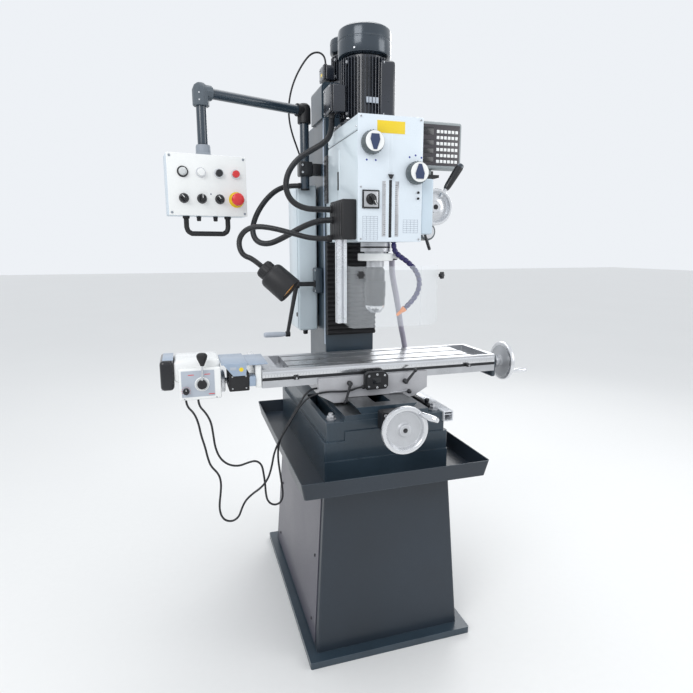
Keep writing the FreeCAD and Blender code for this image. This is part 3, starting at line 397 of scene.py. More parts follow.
# ---- camera, lights and floor ------------------------------------------------------------------------------
def make_stage():
    camera = bpy.data.objects.new("camera", bpy.data.cameras.new("camera"))
    bpy.context.scene.collection.objects.link(camera)
    camera.location = (-0.633, -1.9296, 1.3753)
    camera.rotation_euler = (math.radians(79.7), 0, math.radians(-17.49))
    camera.data.lens = 27.47
    camera.data.sensor_width = 36
    camera.data.shift_x, camera.data.shift_y = -0.0042, -0.0029
    bpy.context.scene.camera = camera
    lamps = (("key", (-2.4, -2.4, 3.2), 1.8, 42), ("fill", (2.8, -1.8, 2.2), 1.6, 22),
             ("top", (0.4, 0.6, 4.2), 2.4, 26),
             ("rim", (1.8, 2.6, 2.6), 1.6, 26))
    for name, at, size, power in lamps:
        light = bpy.data.lights.new(name, "AREA")
        light.shape, light.size, light.energy = "SQUARE", size, power
        lamp = bpy.data.objects.new(name, light)
        lamp.location = at
        lamp.rotation_euler = (Vector((0, 0, 1.1)) - Vector(at)).to_track_quat("-Z", "Y").to_euler()
        bpy.context.scene.collection.objects.link(lamp)
    world = bpy.data.worlds.new("studio")
    world.use_nodes = True
    world.node_tree.nodes["Background"].inputs[0].default_value = (0.90, 0.93, 0.97, 1)
    world.node_tree.nodes["Background"].inputs[1].default_value = 0.95
    bpy.context.scene.world = world
    bpy.context.scene.view_settings.view_transform = "Standard"
    mesh = bpy.data.meshes.new("floor")
    mesh.from_pydata([(-30, -30, 0), (30, -30, 0), (30, 30, 0), (-30, 30, 0)], [], [(0, 1, 2, 3)])
    mesh.materials.append(surface("floor_pale", (0.80, 0.80, 0.79), 0.55, tint=0.015, tint_scale=0.7,
                                  grain=0.03,
                                  grain_scale=40.0))
    floor = bpy.data.objects.new("floor", mesh)
    floor.location.z = -0.0005
    bpy.context.scene.collection.objects.link(floor)


# ---- cords -------------------------------------------------------------------------------------------------
ROUTES = {
    "conduit_motor": [
        (-119, -99, 1804.8), (-119, -99, 1768), (-140, -101, 1732), (-188, -104, 1704),
        (-240, -110, 1672), (-278, -120, 1625), (-291, -136, 1572), (-276, -160, 1526),
        (-238, -190, 1503), (-194, -212, 1500), (-152.2, -212, 1500)],
    "conduit_pendant": [
        (-152.2, -222, 1466), (-194, -222, 1466), (-246, -190, 1446), (-298, -142, 1412),
        (-344, -90, 1388), (-378, -36, 1398), (-386, 10, 1438), (-366, 46, 1492), (-326, 84, 1548),
        (-276, 122, 1592), (-224, 141, 1612), (-177.2, 141, 1612)],
    "cable_z_motor": [
        (-75, 140, 2056.2), (-75, 140, 2078), (-95, 145, 2098), (-128, 151, 2092), (-158, 160, 2056),
        (-186, 168, 2006), (-203, 176, 1956), (-210, 184, 1906), (-207, 192, 1856), (-193, 200, 1806),
        (-172, 207, 1756), (-155, 213, 1712), (-150, 215, 1674), (-150, 215, 1640)],
    "lamp_gooseneck": [
        (-168, -205, 1407), (-220, -205, 1407), (-277, -203, 1422), (-330, -200, 1436),
        (-378, -198, 1444), (-412, -197, 1442), (-438, -196, 1428), (-453, -194, 1404),
        (-453, -192, 1376), (-440, -190, 1352), (-411.4, -190, 1342.6), (-384.2, -203.9, 1317.2)],
    "coolant_hose": [
        (52, -250, 1395.8), (52, -250, 1372), (70, -250, 1352), (100, -250, 1334), (132, -250, 1306),
        (152, -248, 1270), (150, -244, 1228), (126, -238, 1190), (96, -230, 1162)],
    "return_hose": [
        (91, -140, 1334), (91, -140, 1292), (108, -124, 1242), (133, -90, 1190), (162, -45, 1130),
        (192, 5, 1070), (222, 50, 1018), (246, 84, 962), (262, 100, 896), (272, 106, 830),
        (276, 108, 764), (277, 109, 698), (277, 109, 632)],
    "feed_cable_left": [
        (-641, -200, 896.8), (-641, -200, 874), (-618, -201, 848), (-606, -202, 812), (-600, -203, 770),
        (-589, -204, 728), (-583, -205, 692), (-574, -206, 660), (-550, -208, 632), (-543, -210, 600),
        (-547, -212, 560), (-553, -214, 522), (-551, -215, 490), (-538, -216, 465), (-512, -217, 457),
        (-490, -218, 471), (-480, -218, 499), (-467, -219, 527), (-443, -220, 549), (-412, -220, 567),
        (-387, -220, 596), (-373, -220, 640), (-364, -220, 690), (-341, -221, 738), (-312, -222, 784),
        (-284, -223, 830), (-255, -225, 868), (-218, -226, 885), (-172, -226, 890), (-128, -226, 886),
        (-92, -227, 886), (-67, -229, 897), (-43.2, -229, 897)],
    "feed_cable_right": [
        (-603, -200, 896.8), (-603, -200, 872), (-582, -200, 846), (-566, -200, 812), (-561, -200, 766),
        (-557, -200, 722), (-543, -201, 682), (-516, -202, 656), (-482, -203, 648), (-450, -204, 658),
        (-424, -205, 662), (-405, -206, 645), (-400, -207, 612), (-396, -208, 574), (-395, -209, 538),
        (-389, -209, 508), (-368, -210, 491), (-344, -210, 497), (-335, -210, 522), (-338, -210, 562),
        (-344, -210, 612), (-350, -210, 664), (-347, -210, 714), (-328, -209, 758), (-300, -208, 802),
        (-272, -206, 846), (-248, -200, 880), (-224, -195, 896), (-204.2, -195, 896)],
}
# name: (diameter mm, length mm, look, the body at its start, the body at its end, stiffness, lay, far end)
CORDS = {
    "conduit_motor": (20, 505, "ribbed", "head", "head", "medium", "loose", "object"),
    "conduit_pendant": (20, 705, "ribbed", "head", "base", "medium", "hanging", "object"),
    "cable_z_motor": (7, 567, "plain", "base", "base", "medium", "loose", "object"),
    "lamp_gooseneck": (18, 427, "ribbed", "head", "head", "stiff", "loose", "object"),
    "coolant_hose": (18, 295, "segments", "head", "head", "stiff", "loose", "fitting"),
    "return_hose": (22, 806, "corrugated", "head", "base", "medium", "hanging", "bare"),
    "feed_cable_left": (7, 1195, "plain", "table", "saddle", "medium", "hanging", "object"),
    "feed_cable_right": (7, 1027, "plain", "table", "saddle", "medium", "hanging", "object"),
}
CORD_LOOKS = {
    "plain": (conduit_black, "black_hose", 4.0, lambda r, s: r),
    "ribbed": (conduit_black, "black_hose", 1.1, lambda r,
               s: r * (0.95 + 0.05 * math.cos(2 * math.pi * s / 4.4))),
    "corrugated": (hose_grey, "grey_hose", 1.3, lambda r,
                   s: r * (0.95 + 0.05 * math.cos(2 * math.pi * s / 5.2))),
    "segments": (hose_blue, "blue_hose", 0.8, lambda r,
                 s: r * (1.0 - 0.30 * max(0, math.sin(2 * math.pi * s / 17)) ** 4)),
}


def smooth_line(route):
    """Points along the smooth curve that a route controls, in metres."""
    curve = bpy.data.curves.new("route", "CURVE")
    curve.dimensions = "3D"
    curve.resolution_u = 24
    spline = curve.splines.new("NURBS")
    spline.points.add(len(route) - 1)
    for point, at in zip(spline.points, route):
        point.co = (*(Vector(at) * MM), 1)
    spline.order_u = 3
    spline.use_endpoint_u = True
    helper = bpy.data.objects.new("route", curve)
    bpy.context.scene.collection.objects.link(helper)
    bpy.context.view_layer.update()
    line = bpy.data.meshes.new_from_object(helper)
    found = [v.co.copy() for v in line.vertices]
    bpy.data.objects.remove(helper)
    bpy.data.meshes.remove(line)
    return found


def even_points(line, step):
    """The same line as points a fixed step apart, both in millimetres."""
    made, wanted, travelled = [line[0]], step, 0.0
    for a, b in zip(line, line[1:]):
        run = (b - a).length
        while run > 0 and travelled + run >= wanted:
            made.append(a.lerp(b, (wanted - travelled) / run))
            wanted += step
        travelled += run
    if (made[-1] - line[-1]).length > 0.3 * step:
        made.append(line[-1])
    return made


def make_cords():
    for name, (diameter, length, look, first, last, stiffness, lay, far_end) in CORDS.items():
        material, slot, step, radius = CORD_LOOKS[look]
        line = smooth_line(ROUTES[name])
        piece = Piece(name + "_line")
        points = even_points([p / MM for p in line], step)
        piece.tube(points, lambda s, r=diameter / 2: radius(r, s), material)
        if first == last:
            cord = piece.done(first, slot, name)
        else:
            cord = piece.done(None, slot, name)
            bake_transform(cord)
        others = [make_nozzle(points)] if far_end == "fitting" else []


def make_nozzle(points):
    """The flat orange nozzle on the coolant hose's end."""
    end, way = points[-1], (points[-1] - points[-6]).normalized()
    p = Piece("coolant_nozzle")
    p.lathe([(0, -12), (10, -12), (10, -3), (7, 2), (5.5, 16), (4.5, 26), (2.5, 26), (2.5, 22), (0, 22)],
            end, way,
            orange_plastic, 28)
    return p.done("head", "blue_hose")


# ---- stand and base ----------------------------------------------------------------------------------------
casting, side = place("base_casting"), place("stand_side_cover")


def cover_x(z):
    """The outer face of the side cover at a height."""
    return side.x0 + (side.x1 - side.x0 - 2.5) * (z - side.z0) / (side.z1 - side.z0)


def make_stand():
    finish_cad(slate, "base_plate")
    finish_cad(sheet_slate, "stand_cabinet", "chip_tray")
    finish_cad(side_slate, "stand_side_cover")
    finish_cad(casting_paint, "base_casting")
    nuts = place("fixing_screws")
    p = Piece("fixings")
    for z, y in [(z, y) for z in (90, 330, 560) for y in (-300, 300)]:
        p.lathe([(0, 0), (6, 0), (6, 1), (4.4, 2.5), (2.6, 2.9), (2.6, 1.6), (0, 1.6)], (cover_x(z), y, z),
                -X, black_steel, 24)
    for s in (-1, 1):
        at = Vector((s * 187, casting.y0 + 50, nuts.z1 - 22))
        p.lathe([(0, 0), (17, 0), (17, 2.6), (0, 2.6)], at, Z, ground_steel, 40)
        p.lathe([(0, 2.6), (13, 2.6), (13, 12.6), (11.4, 14), (0, 14)], at, Z, ground_steel, 6)
        p.lathe([(0, 14), (8, 14), (8, 21), (6.8, 22), (0, 22)], at, Z, ground_steel, 24)
    p.done("base", "bright_steel", "fixing_screws")
    make_bearing_block()
    make_scale_cover()


def make_bearing_block():
    finish_cad(black_steel, "y_bearing_block")
    block = place("y_bearing_block")
    p = Piece("bearing_block_screws")
    for sx in (-1, 1):
        for sz in (-1, 1):
            p.screw((sx * 29, block.y0, block.zc + sz * 23), -Y, 5.5, ground_steel)
    p.done("base", "black_steel")


def make_scale_cover():
    cover = place("y_scale_cover")
    x0, x1, z0, z1 = cover.x1 - 37, cover.x1, cover.z0, cover.z1 - 8
    p = Piece("scale_cover")
    p.box(x0, x1, cover.y0, cover.y1, z1 - 3.5, z1, extrusion, 1.2)
    p.box(x0, x1, cover.y0, cover.y1, z0, z0 + 3.5, extrusion, 1.2)
    p.box(x0, x0 + 4, cover.y0, cover.y1, z0 + 1, z1 - 1, extrusion, 1.0)
    p.box(x1 - 4, x1, cover.y0, cover.y1, z0 + 1, z1 - 1, extrusion, 1.0)
    p.box(x0 + 3, x1 - 3, cover.y0 + 2, cover.y1, z1 - 13, z1 - 11, extrusion, 0.5)
    for y in (cover.y0 + 40, cover.y1 - 40):
        p.screw((x1, y, (z0 + z1) / 2), X, 3.5, ground_steel)
    p.done("base", "cast_aluminium", "y_scale_cover")
    bar = Piece("saddle_stop_bar")
    bar.box(cover.x0, cover.x0 + 14, -290, 40, cover.z1 - 11.9, cover.z1, black_steel, 2)
    bar.lathe([(0, 0), (7, 0), (7, 6), (9, 9), (9, 15), (7, 17), (0, 17)],
              (cover.x0 + 7, -270, cover.z1 - 0.5), Z, gloss_black, 28)
    bar.done("base", "black_steel")


# ---- handwheels --------------------------------------------------------------------------------------------
def wheel(p, at, axis, r):
    """A dished handwheel; at is the middle of its front side, axis points to its back."""
    p.lathe([(r - 20, 13), (r - 16.5, 8), (r - 15, 3), (r - 12.5, 0.6), (r - 9, 0), (r - 5, 0),
             (r - 1.6, 1.2), (r, 4),
             (r, 13.5), (r - 1.6, 16.8), (r - 5, 18), (r - 14, 18)], at, axis, aluminium, 96)
    p.lathe([(0, 4), (9, 4), (10, 2.5), (17, 2), (19.4, 3.4), (20.5, 9), (25, 12.6), (r - 30, 14.6),
             (r - 19, 13),
             (r - 14, 17.8), (28, 19.5), (22.6, 22), (22, 30), (0, 30)], at, axis, cast_wheel, 96)
    front = Vector(at) + Vector(axis) * 4
    p.lathe([(0, -1.6), (6, -1.6), (7.5, -0.8), (7.5, 0.4), (0, 0.4)], front, axis, black_steel, 28)
    p.lathe([(0, -1.75), (3.2, -1.75), (3.2, -1.2), (0, -1.2)], front, axis, gloss_black, 6)


def grip(p, root, way):
    p.lathe([(0, 0), (6, 0), (6, 4), (6.6, 5), (8, 8), (9.2, 20), (10, 36), (9.9, 48), (9.3, 58), (7.8, 64),
             (6, 65.9), (0, 65.9)],
            root, way, chrome, 36)


def dial(p, at, axis, r, width, count=60):
    """A graduated collar; at is the middle of one side."""
    p.lathe([(0, 0), (r - 1, 0), (r, 1), (r, width - 1), (r - 1, width), (0, width)], at, axis, chrome, 64)
    turn = turn_to(axis, at)
    for k in range(count):
        long = width * (0.5 if k % 5 == 0 else 0.3)
        matrix = turn @ Matrix.Rotation(2 * math.pi * k / count, 4, "Z")
        p.box(r - 0.3, r + 0.12, -0.3, 0.3, 1, 1 + long, gloss_black, matrix=matrix)


def make_wheels():
    y_pivot = place("y_bearing_block")
    front, z = -500, y_pivot.z0 + 35
    p = Piece("y_handwheel")
    wheel(p, (0, front, z), Y, 77)
    p.lathe([(0, 0), (22, 0), (24, 2), (28, 36), (27, 38), (0, 38)], (0, front + 30, z), Y, black_steel, 48)
    dial(p, (0, -432, z), Y, 30, 29)
    p.rod((0, -430, z), (0, 0, z), 11, ground_steel)
    a = math.radians(48)
    grip(p, (68 * math.cos(a), front + 2, z + 68 * math.sin(a)), (0.55, -0.8, -0.15))
    p.done("y_screw", "cast_aluminium", "y_feed_screw")
    front, y, z = 614, -88, 922
    p = Piece("x_handwheel")
    wheel(p, (front, y, z), -X, 78)
    p.lathe([(0, 0), (19, 0), (20, 1), (20, 4), (0, 4)], (front - 34, y, z), X, black_steel, 40)
    dial(p, (front - 52, y, z), X, 27, 18)
    p.rod((-660, y, z), (front - 20, y, z), 11, ground_steel)
    p.lathe([(0, 0), (38, 0), (40, 2), (40, 12), (38, 14), (30, 14), (28, 11), (0, 11)], (-524, y, z), X,
            aluminium, 64)
    a = math.radians(206)
    grip(p, (front - 2, y + 70 * math.cos(a), z + 70 * math.sin(a)), X)
    p.done("x_screw", "cast_aluminium", "x_feed_screw")


# ---- saddle and table --------------------------------------------------------------------------------------
def make_saddle():
    finish_cad(saddle_grey, "saddle")
    switch = place("limit_switch")
    front, back = switch.y0 + 2, switch.y0 + 24.5
    p = Piece("limit_switch_box")
    outline = [(-43, 896), (-36, 888), (35, 888), (43, 898), (43, 936), (30, 950), (-32, 950), (-43, 940)]
    p.prism([(x, front + 3, z) for x, z in outline], (0, back - front - 3, 0), black_plastic)
    p.prism([(x * 0.9, front, 919 + (z - 919) * 0.88) for x, z in outline], (0, 3, 0), black_plastic)
    for x, z in ((-30, 900), (30, 900), (-30, 938), (28, 938), (0, 896), (0, 942)):
        p.screw((x, front, z), -Y, 4, chrome)
    p.box(-16, 14, front - 0.8, front, 908, 930, gloss_black, 0.3)
    p.lathe([(0, 0), (7.5, 0), (7.5, 6), (6, 8), (0, 8)], (-43, -229, 897), -X, black_plastic, 6)
    p.done("saddle", "black_plastic", "limit_switch")
    oil = Piece("oiler")
    oil.rod((128, -219, 868), (128, -226, 868), 6, chrome)
    oil.lathe([(0, 0), (6, 0.6), (8.6, 4), (9, 7.5), (7.6, 12), (4, 14.6), (0, 15)], (128, -225, 868), -Y,
              gloss_black, 32)
    oil.rod((122, -222, 868), (56, -222, 866), 1.6, chrome, 12, 0.3)
    oil.done("saddle", "black_plastic")
    for side_name, x, z, tip in (("left", -95, 913, (-21, -60)), ("right", 115, 905, (30, 42))):
        p = Piece("clamp_handle_" + side_name)
        root, end = Vector((x, -237, z)), Vector((x + tip[0], -245, z + tip[1]))
        p.lathe([(0, 0), (8, 0), (9, 1), (9, 14), (7.6, 18), (5, 20), (0, 20)], (x, -219.3, z), -Y,
                black_steel, 32)
        p.lathe([(0, 0), (5.4, 0), (4.2, (end - root).length - 4), (0, (end - root).length - 4)], root,
                end - root, black_steel, 24)
        ball(p, end, 7.2, gloss_black)
        p.done("clamp_lever_" + side_name, "black_steel", "clamp_lever_" + side_name)


def ball(p, at, r, material, axis=Z, rings=10):
    steps = [math.pi * k / rings - math.pi / 2 for k in range(rings + 1)]
    p.lathe([(max(0.0, r * math.cos(a)) if 0 < k < rings else 0, r * math.sin(a)) for k,
             a in enumerate(steps)], at, axis, material, 28)


def make_table():
    finish_cad(ground_steel, "table")
    table, rule = place("table"), place("table_scale")
    p = Piece("table_ruler")
    p.box(rule.x0, rule.x1, table.y0 - 1.4, table.y0 - 0.1, 949, rule.z1, chrome, 0.3)
    for k in range(1, int((rule.x1 - rule.x0) / 5)):
        x = rule.x0 + 5 * k
        p.box(x - 0.3, x + 0.3, table.y0 - 1.5, table.y0 - 1.3, 949.6, 949.6 + (9 if k % 2 == 0 else 5),
              gloss_black)
    p.box(rule.x0, rule.x1, table.y0 - 0.6, table.y0 - 0.1, 938.3, 948.6, black_steel)
    for x in (-281, 376):
        p.box(x - 9, x + 9, rule.y0, table.y0 - 0.2, rule.z0, 948.8, black_plastic, 1.6)
        p.screw((x, rule.y0, 943.6), -Y, 3.4, chrome)
    p.done("table", "bright_steel", "table_scale")
    make_table_ends()


def make_table_ends():
    ends, table = place("table_end_brackets"), place("table")
    p = Piece("end_piece_left")
    p.box(table.x0 - 21, table.x0 - 0.3, table.y0, table.y1, 918, ends.z1, white_plastic, 4, 3)
    for y in (-180, -30):
        p.screw((table.x0 - 21, y, 985), -X, 5, ground_steel)
    p.box(table.x0 - 41.7, table.x0 - 21.3, -214, -160, 926, 960, cover_blue, 2)
    p.done("table", "white_plastic", "table_end_brackets")
    p = Piece("sensor_box")
    p.box(ends.x0, -438, ends.y0, -110, 912, 974, black_plastic, 4, 3)
    p.box(ends.x0 + 6, -444, ends.y0 - 2, ends.y0, 918, 968, black_plastic, 0.8)
    for x in (ends.x0 + 11, -449):
        for z in (923, 963):
            p.screw((x, ends.y0 - 2, z), -Y, 2.6, chrome)
    p.done("table", "black_plastic")
    p = Piece("end_bracket_right")
    p.box(table.x1 + 0.3, table.x1 + 18, table.y0 + 20, table.y1 - 20, ends.z0, 968, slate, 6, 3)
    p.lathe([(0, 0), (33, 0), (33, 4), (30, 6), (30, 44), (28, 47), (0, 47)], (table.x1 + 18, -88, 922), X,
            black_steel, 48)
    for y in (-165, -11):
        for z in (900, 952):
            p.screw((table.x1 + 18, y, z), X, 5, chrome)
    p.done("table", "cast_aluminium")


# ---- power feed --------------------------------------------------------------------------------------------
def make_power_feed():
    feed, cover = place("feed_housing"), place("feed_cover")
    front = -222
    p = Piece("feed_case")
    p.box(-673, feed.x1, front + 16, feed.y1, 950, 1024, white_plastic, 14, 5)
    p.box(-660, feed.x1, front, feed.y1, feed.z0, 1000, white_plastic, 5, 3)
    p.box(-652, -550, front - 1.5, front, 908, 993, membrane, 0.6)
    p.lathe([(0, 0), (23, 0), (23, 3.5), (21.5, 5), (0, 5)], (-589, front - 1.5, 949), -Y, white_plastic,
            56)
    for r in (19, 16):
        p.lathe([(r, 5.0), (r + 0.8, 5.0), (r + 0.8, 5.3), (r, 5.3)], (-589, front - 1.5, 949), -Y,
                grey_print, 48)
    for k in range(9):
        a = math.radians(-120 + 30 * k)
        at = Matrix.Translation((-639, front - 1.5, 929)) @ Matrix.Rotation(a, 4, "Y")
        p.box(-0.5, 0.5, -0.2, 0.1, 11.6, 14.6, red_plastic, matrix=at)
    for x, z in ((-622, 980), (-572, 980), (-560, 915)):
        p.box(x - 9, x + 9, front - 1.75, front - 1.4, z - 1.2, z + 1.2, red_plastic)
    for x in (-645, -545):
        p.screw((x, front, 902), -Y, 2.8, chrome)
    p.done("table", "white_plastic", "feed_housing")
    p = Piece("feed_end_cap")
    p.box(feed.x0, -673.3, front + 14, feed.y1 - 2, 928, feed.z1, gloss_black, 13, 6)
    # painted highlight: a thin blue-grey plate on the glossy black cap's top stands for the sheen on its top
    # face
    p.box(feed.x0 + 9, -673.5, front + 26, feed.y1 - 16, 1025.2, feed.z1 + 0.6, cover_blue, 0.3)
    for y in (front + 30, feed.y1 - 18):
        p.screw((feed.x0 + 3.2, y, 931), -Z, 3, chrome)
    p.done("table", "black_plastic")
    p = Piece("feed_lever_knob")
    p.lathe([(0, 0), (14, 0), (15, 1), (15, 7), (13, 9), (0, 9)], (-589, front - 6.8, 949), -Y,
            black_plastic, 40)
    p.rod((-589, front - 12, 957), (-586, front - 12, 1014), 3, chrome)
    p.lathe([(0, 0), (6, 0), (8, 6), (11, 13), (15, 22), (17, 30), (16.4, 35), (12, 40), (6, 41.6),
             (0, 42)],
            (-586, front - 12, 1010), Z, black_plastic, 48)
    p.done("feed_lever", "black_plastic", "feed_lever")
    p = Piece("feed_rate_knob")
    knurled(p, (-639, front - 1.8, 929), -Y, 10, 15, black_plastic)
    p.box(-639.6, -638.4, front - 16.9, front - 16.5, 931, 938, white_plastic)
    p.done("feed_speed_knob", "black_plastic", "feed_speed_knob")
    p = Piece("feed_sheet")
    p.box(cover.x0, -445, cover.y0, cover.y1, 1004, cover.z1, cover_blue, 1.2)
    p.prism([(-520, cover.y0, 1005), (-445, cover.y0, 1005), (-449, cover.y0, 966), (-490, cover.y0, 966)],
            (0, 3, 0), cover_blue)
    p.box(-444.7, cover.x1, -216, cover.y1, 998, 1002, cover_blue, 1.0)
    p.box(-500, -480, cover.y0 - 0.6, cover.y0, 986, 996, membrane, 0.2)
    p.lathe([(0, 0), (7, 0), (7, 0.7), (0, 0.7)], (-464, cover.y0, 987), -Y, yellow_plastic, 32)
    p.done("table", "grey_sheet", "feed_cover")


def knurled(p, at, axis, r, height, material, teeth=28):
    """A small knob with a toothed side and a flat chamfered top."""
    turn = turn_to(axis, at)
    rings = ((0.0, 1.0), (height - 1.5, 0.97), (height, 0.84))
    points = []
    for h, share in rings:
        for k in range(2 * teeth):
            a = math.pi * k / teeth
            radius = r * share * (1.0 if k % 2 else 0.93)
            points.append(turn @ Vector((radius * math.cos(a), radius * math.sin(a), h)))
    n = 2 * teeth
    faces = [list(range(n)), [2 * n + k for k in range(n)]]
    for row in range(2):
        for k in range(n):
            j = (k + 1) % n
            faces.append([row * n + k, row * n + j, (row + 1) * n + j, (row + 1) * n + k])
    p.take(points, faces, material)


# ---- column ------------------------------------------------------------------------------------------------
def motor(p, x, y, z0, z1, core, fins, tip, cover_r, cover_h):
    """A fan-cooled motor standing on its flange: barrel, cooling fins, clamp bands and fan cover."""
    top = z1 - cover_h
    p.lathe([(0, 0), (core, 0), (core, top - z0 - 4), (core - 6, top - z0), (0, top - z0)], (x, y, z0), Z,
            motor_black, 72)
    for k in range(fins):
        turn = Matrix.Translation((x, y, 0)) @ Matrix.Rotation(2 * math.pi * k / fins, 4, "Z")
        p.box(core - 2, tip, -1.3, 1.3, z0 + 14, top - 10, motor_black, 0.6, 1, matrix=turn)
    for a in (-150, -60, 30, 120):
        turn = Matrix.Translation((x, y, 0)) @ Matrix.Rotation(math.radians(a), 4, "Z")
        for z in (z0 + 24, top - 26):
            p.box(core - 2, tip + 2.5, -7, 7, z - 7, z + 7, motor_black, 2, matrix=turn)
            p.screw(turn @ Vector((tip + 2.4, 0, z)), turn.to_3x3() @ X, 4, ground_steel)
    r, h = cover_r, cover_h
    p.lathe([(0, 0), (r - 12, 0), (r - 2, 3), (r, 7), (r, h * 0.50), (r - 1.4, h * 0.52),
             (r - 1.4, h * 0.56), (r, h * 0.58),
             (r, h - 15), (r - 2, h - 7), (r - 8, h - 2), (r - 16, h), (0, h)], (x, y, top - 0.3), Z,
            fan_grey, 96)
    for k in range(4):
        a = math.radians(-40 + 90 * k)
        p.screw((x + r * math.cos(a), y + r * math.sin(a), top + 12), (math.cos(a), math.sin(a), 0), 3.2,
                chrome)
    for ring in range(3):
        for k in range(10 + 6 * ring):
            a = 2 * math.pi * k / (10 + 6 * ring)
            rr = (0.28 + 0.22 * ring) * r
            at = Matrix.Translation((x + rr * math.cos(a), y + rr * math.sin(a),
                                     z1 - 0.05)) @ Matrix.Rotation(a, 4, "Z")
            p.box(-1.6, 1.6, -4, 4, -1.0, 0.0, gloss_black, matrix=at)


def terminal_box(p, x0, x1, y0, y1, z0, z1, lid):
    """A motor's junction box with a bevelled lid on its -X side."""
    p.box(x0 + 9, x1, y0, y1, z0, z1, motor_black, 4, 3)
    p.box(x0 + 7.6, x0 + 9, y0 + 1.5, y1 - 1.5, z0 + 1.5, z1 - 1.5, gloss_black)
    p.box(x0, x0 + 7.6, y0, y1, z0, z1, lid, 3.5, 3)
    for y in (y0 + 8, y1 - 8):
        for z in (z0 + 8, z1 - 8):
            p.screw((x0, y, z), -X, 2.6, chrome)


def gland(p, at, way, r, length):
    """A cable gland: hexagon body and a tapered round nut."""
    at, way = Vector(at), Vector(way).normalized()
    p.lathe([(0, 0), (r, 0), (r, length * 0.4), (0, length * 0.4)], at, way, black_plastic, 6)
    p.lathe([(0, 0), (r * 0.9, 0), (r * 0.9, length * 0.45), (r * 0.72, length * 0.6), (0, length * 0.6)],
            at + way * length * 0.4, way, black_plastic, 20)


def make_column():
    column, drive = place("column"), place("z_drive")
    finish_cad(slate, "column")
    p = Piece("column_strip")
    p.box(-100.9, -100.1, column.y0 + 3, column.y0 + 20, 1000, column.z1, cover_blue, 0.2)
    p.done("base", "grey_sheet")
    p = Piece("lift_case")
    arc = [(90 + 18 * math.sin(a),
            1957 + 18 * math.cos(a)) for a in (math.pi / 2 * k / 8 for k in range(9))]
    outline = [(-x, z) for x, z in arc[::-1]] + arc + [(108, column.z1 + 0.2), (-108, column.z1 + 0.2)]
    p.prism([(x, 77, z) for x, z in outline], (0, 163, 0), slate)
    p.prism([(x * 0.93, 75, 1912 + (z - 1912) * 0.92) for x, z in outline], (0, 2, 0), slate)
    for x in (-88, 88):
        for z in (1868, 1948):
            p.screw((x, 75, z), -Y, 4, black_steel)
    p.box(-130, -100.2, 104, 160, 1200, 1300, slate, 5, 3)
    for y in (112, 152):
        for z in (1210, 1290):
            p.screw((-130, y, z), -X, 4, ground_steel)
    p.lathe([(0, 0), (15, 0), (15, 4), (13, 5), (0, 5)], (-130, 122, 1237), -X, black_steel, 32)
    p.done("base", "slate_paint", "z_drive")
    p = Piece("lift_motor")
    p.lathe([(0, 0), (66, 0), (66, 8), (64, 10), (52, 12), (0, 12)], (0, 130, 1975.2), Z, motor_black, 64)
    motor(p, 0, 130, 1980, drive.z1, 46, 30, 54, 58, 57)
    terminal_box(p, -94, -50, 98, 162, 1990, 2042, motor_black)
    p.box(-94.3, -94, 118, 140, 2006, 2016, yellow_plastic)
    gland(p, (-75, 140, 2042), Z, 8, 14)
    p.done("base", "motor_paint")
    make_cabinet()
    make_bellows()
    make_crank()


def make_cabinet():
    box = place("electrical_cabinet")
    p = Piece("cabinet_shell")
    p.box(box.x0 + 3, -108, 165, box.y1, 1045, 1620, pale, 9, 4)
    p.box(box.x0, box.x0 + 3.4, 171, box.y1 - 6, 1056, 1609, pale, 1.6, 2)
    for z in (1110, 1555):
        p.lathe([(0, 0), (9, 0), (9, 2), (7.5, 3), (0, 3)], (box.x0, 184, z), -X, black_plastic, 28)
        p.box(box.x0 - 3.2, box.x0 - 2.9, 183, 185, z - 5, z + 5, chrome)
        p.box(box.x0 + 1, box.x0 + 8, box.y1 - 12, box.y1 + 0.0, z - 18, z + 18, black_plastic, 1.5)
    p.box(-107.8, -100.2, 190, 310, 1100, 1560, black_steel, 1.5)
    gland(p, (-150, 215, 1045), -Z, 11, 22)
    gland(p, (-150, 215, 1620), Z, 9, 20)
    p.done("base", "white_plastic", "electrical_cabinet")


def make_bellows():
    fold = place("column_bellows")
    count = 20
    pitch = (fold.z1 - fold.z0) / count
    outline = [(fold.y1, fold.z0)]
    for k in range(count):
        z = fold.z0 + pitch * k
        outline += [(fold.y0 + 9, z), (fold.y0 + 3, z + 0.32 * pitch), (fold.y0, z + 0.46 * pitch),
                    (fold.y0, z + 0.54 * pitch), (fold.y0 + 3, z + 0.68 * pitch)]
    outline += [(fold.y0 + 9, fold.z1), (fold.y1, fold.z1)]
    p = Piece("bellows")
    p.prism([(fold.x0, y, z) for y, z in outline], (fold.x1 - fold.x0, 0, 0), black_rubber)
    skin = p.done(None, "black_rubber", "column_bellows")
    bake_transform(skin)


def make_crank():
    z = 1237
    p = Piece("crank_arm")
    p.rod((-112, 122, z), (-206, 122, z), 9, black_steel)
    p.lathe([(0, 0), (16, 0), (17, 1), (17, 21), (16, 22), (0, 22)], (-216, 122, z), X, black_steel, 40)
    root, foot = Vector((-204, 122, z)), Vector((-244, 122, z - 196))
    p.lathe([(0, 0), (9, 0), (7, (foot - root).length), (0, (foot - root).length)], root, foot - root,
            black_steel, 28)
    p.lathe([(0, 0), (10, 0), (11, 1), (11, 17), (10, 18), (0, 18)], (-252, 122, foot.z), X, black_steel,
            32)
    p.lathe([(0, 0), (7.6, 0), (8.2, 4), (10.4, 20), (10.8, 45), (10.4, 78), (8.4, 84), (6, 86), (0, 86)],
            (-252.3, 122, foot.z), -X,
            membrane, 40)
    p.done("z_crank", "black_steel", "z_crank")


# ---- head --------------------------------------------------------------------------------------------------
head, plate_box = place("head_housing"), place("head_front_plate")
FACE = plate_box.y1 - 3
HALF = 106
LID = 1726


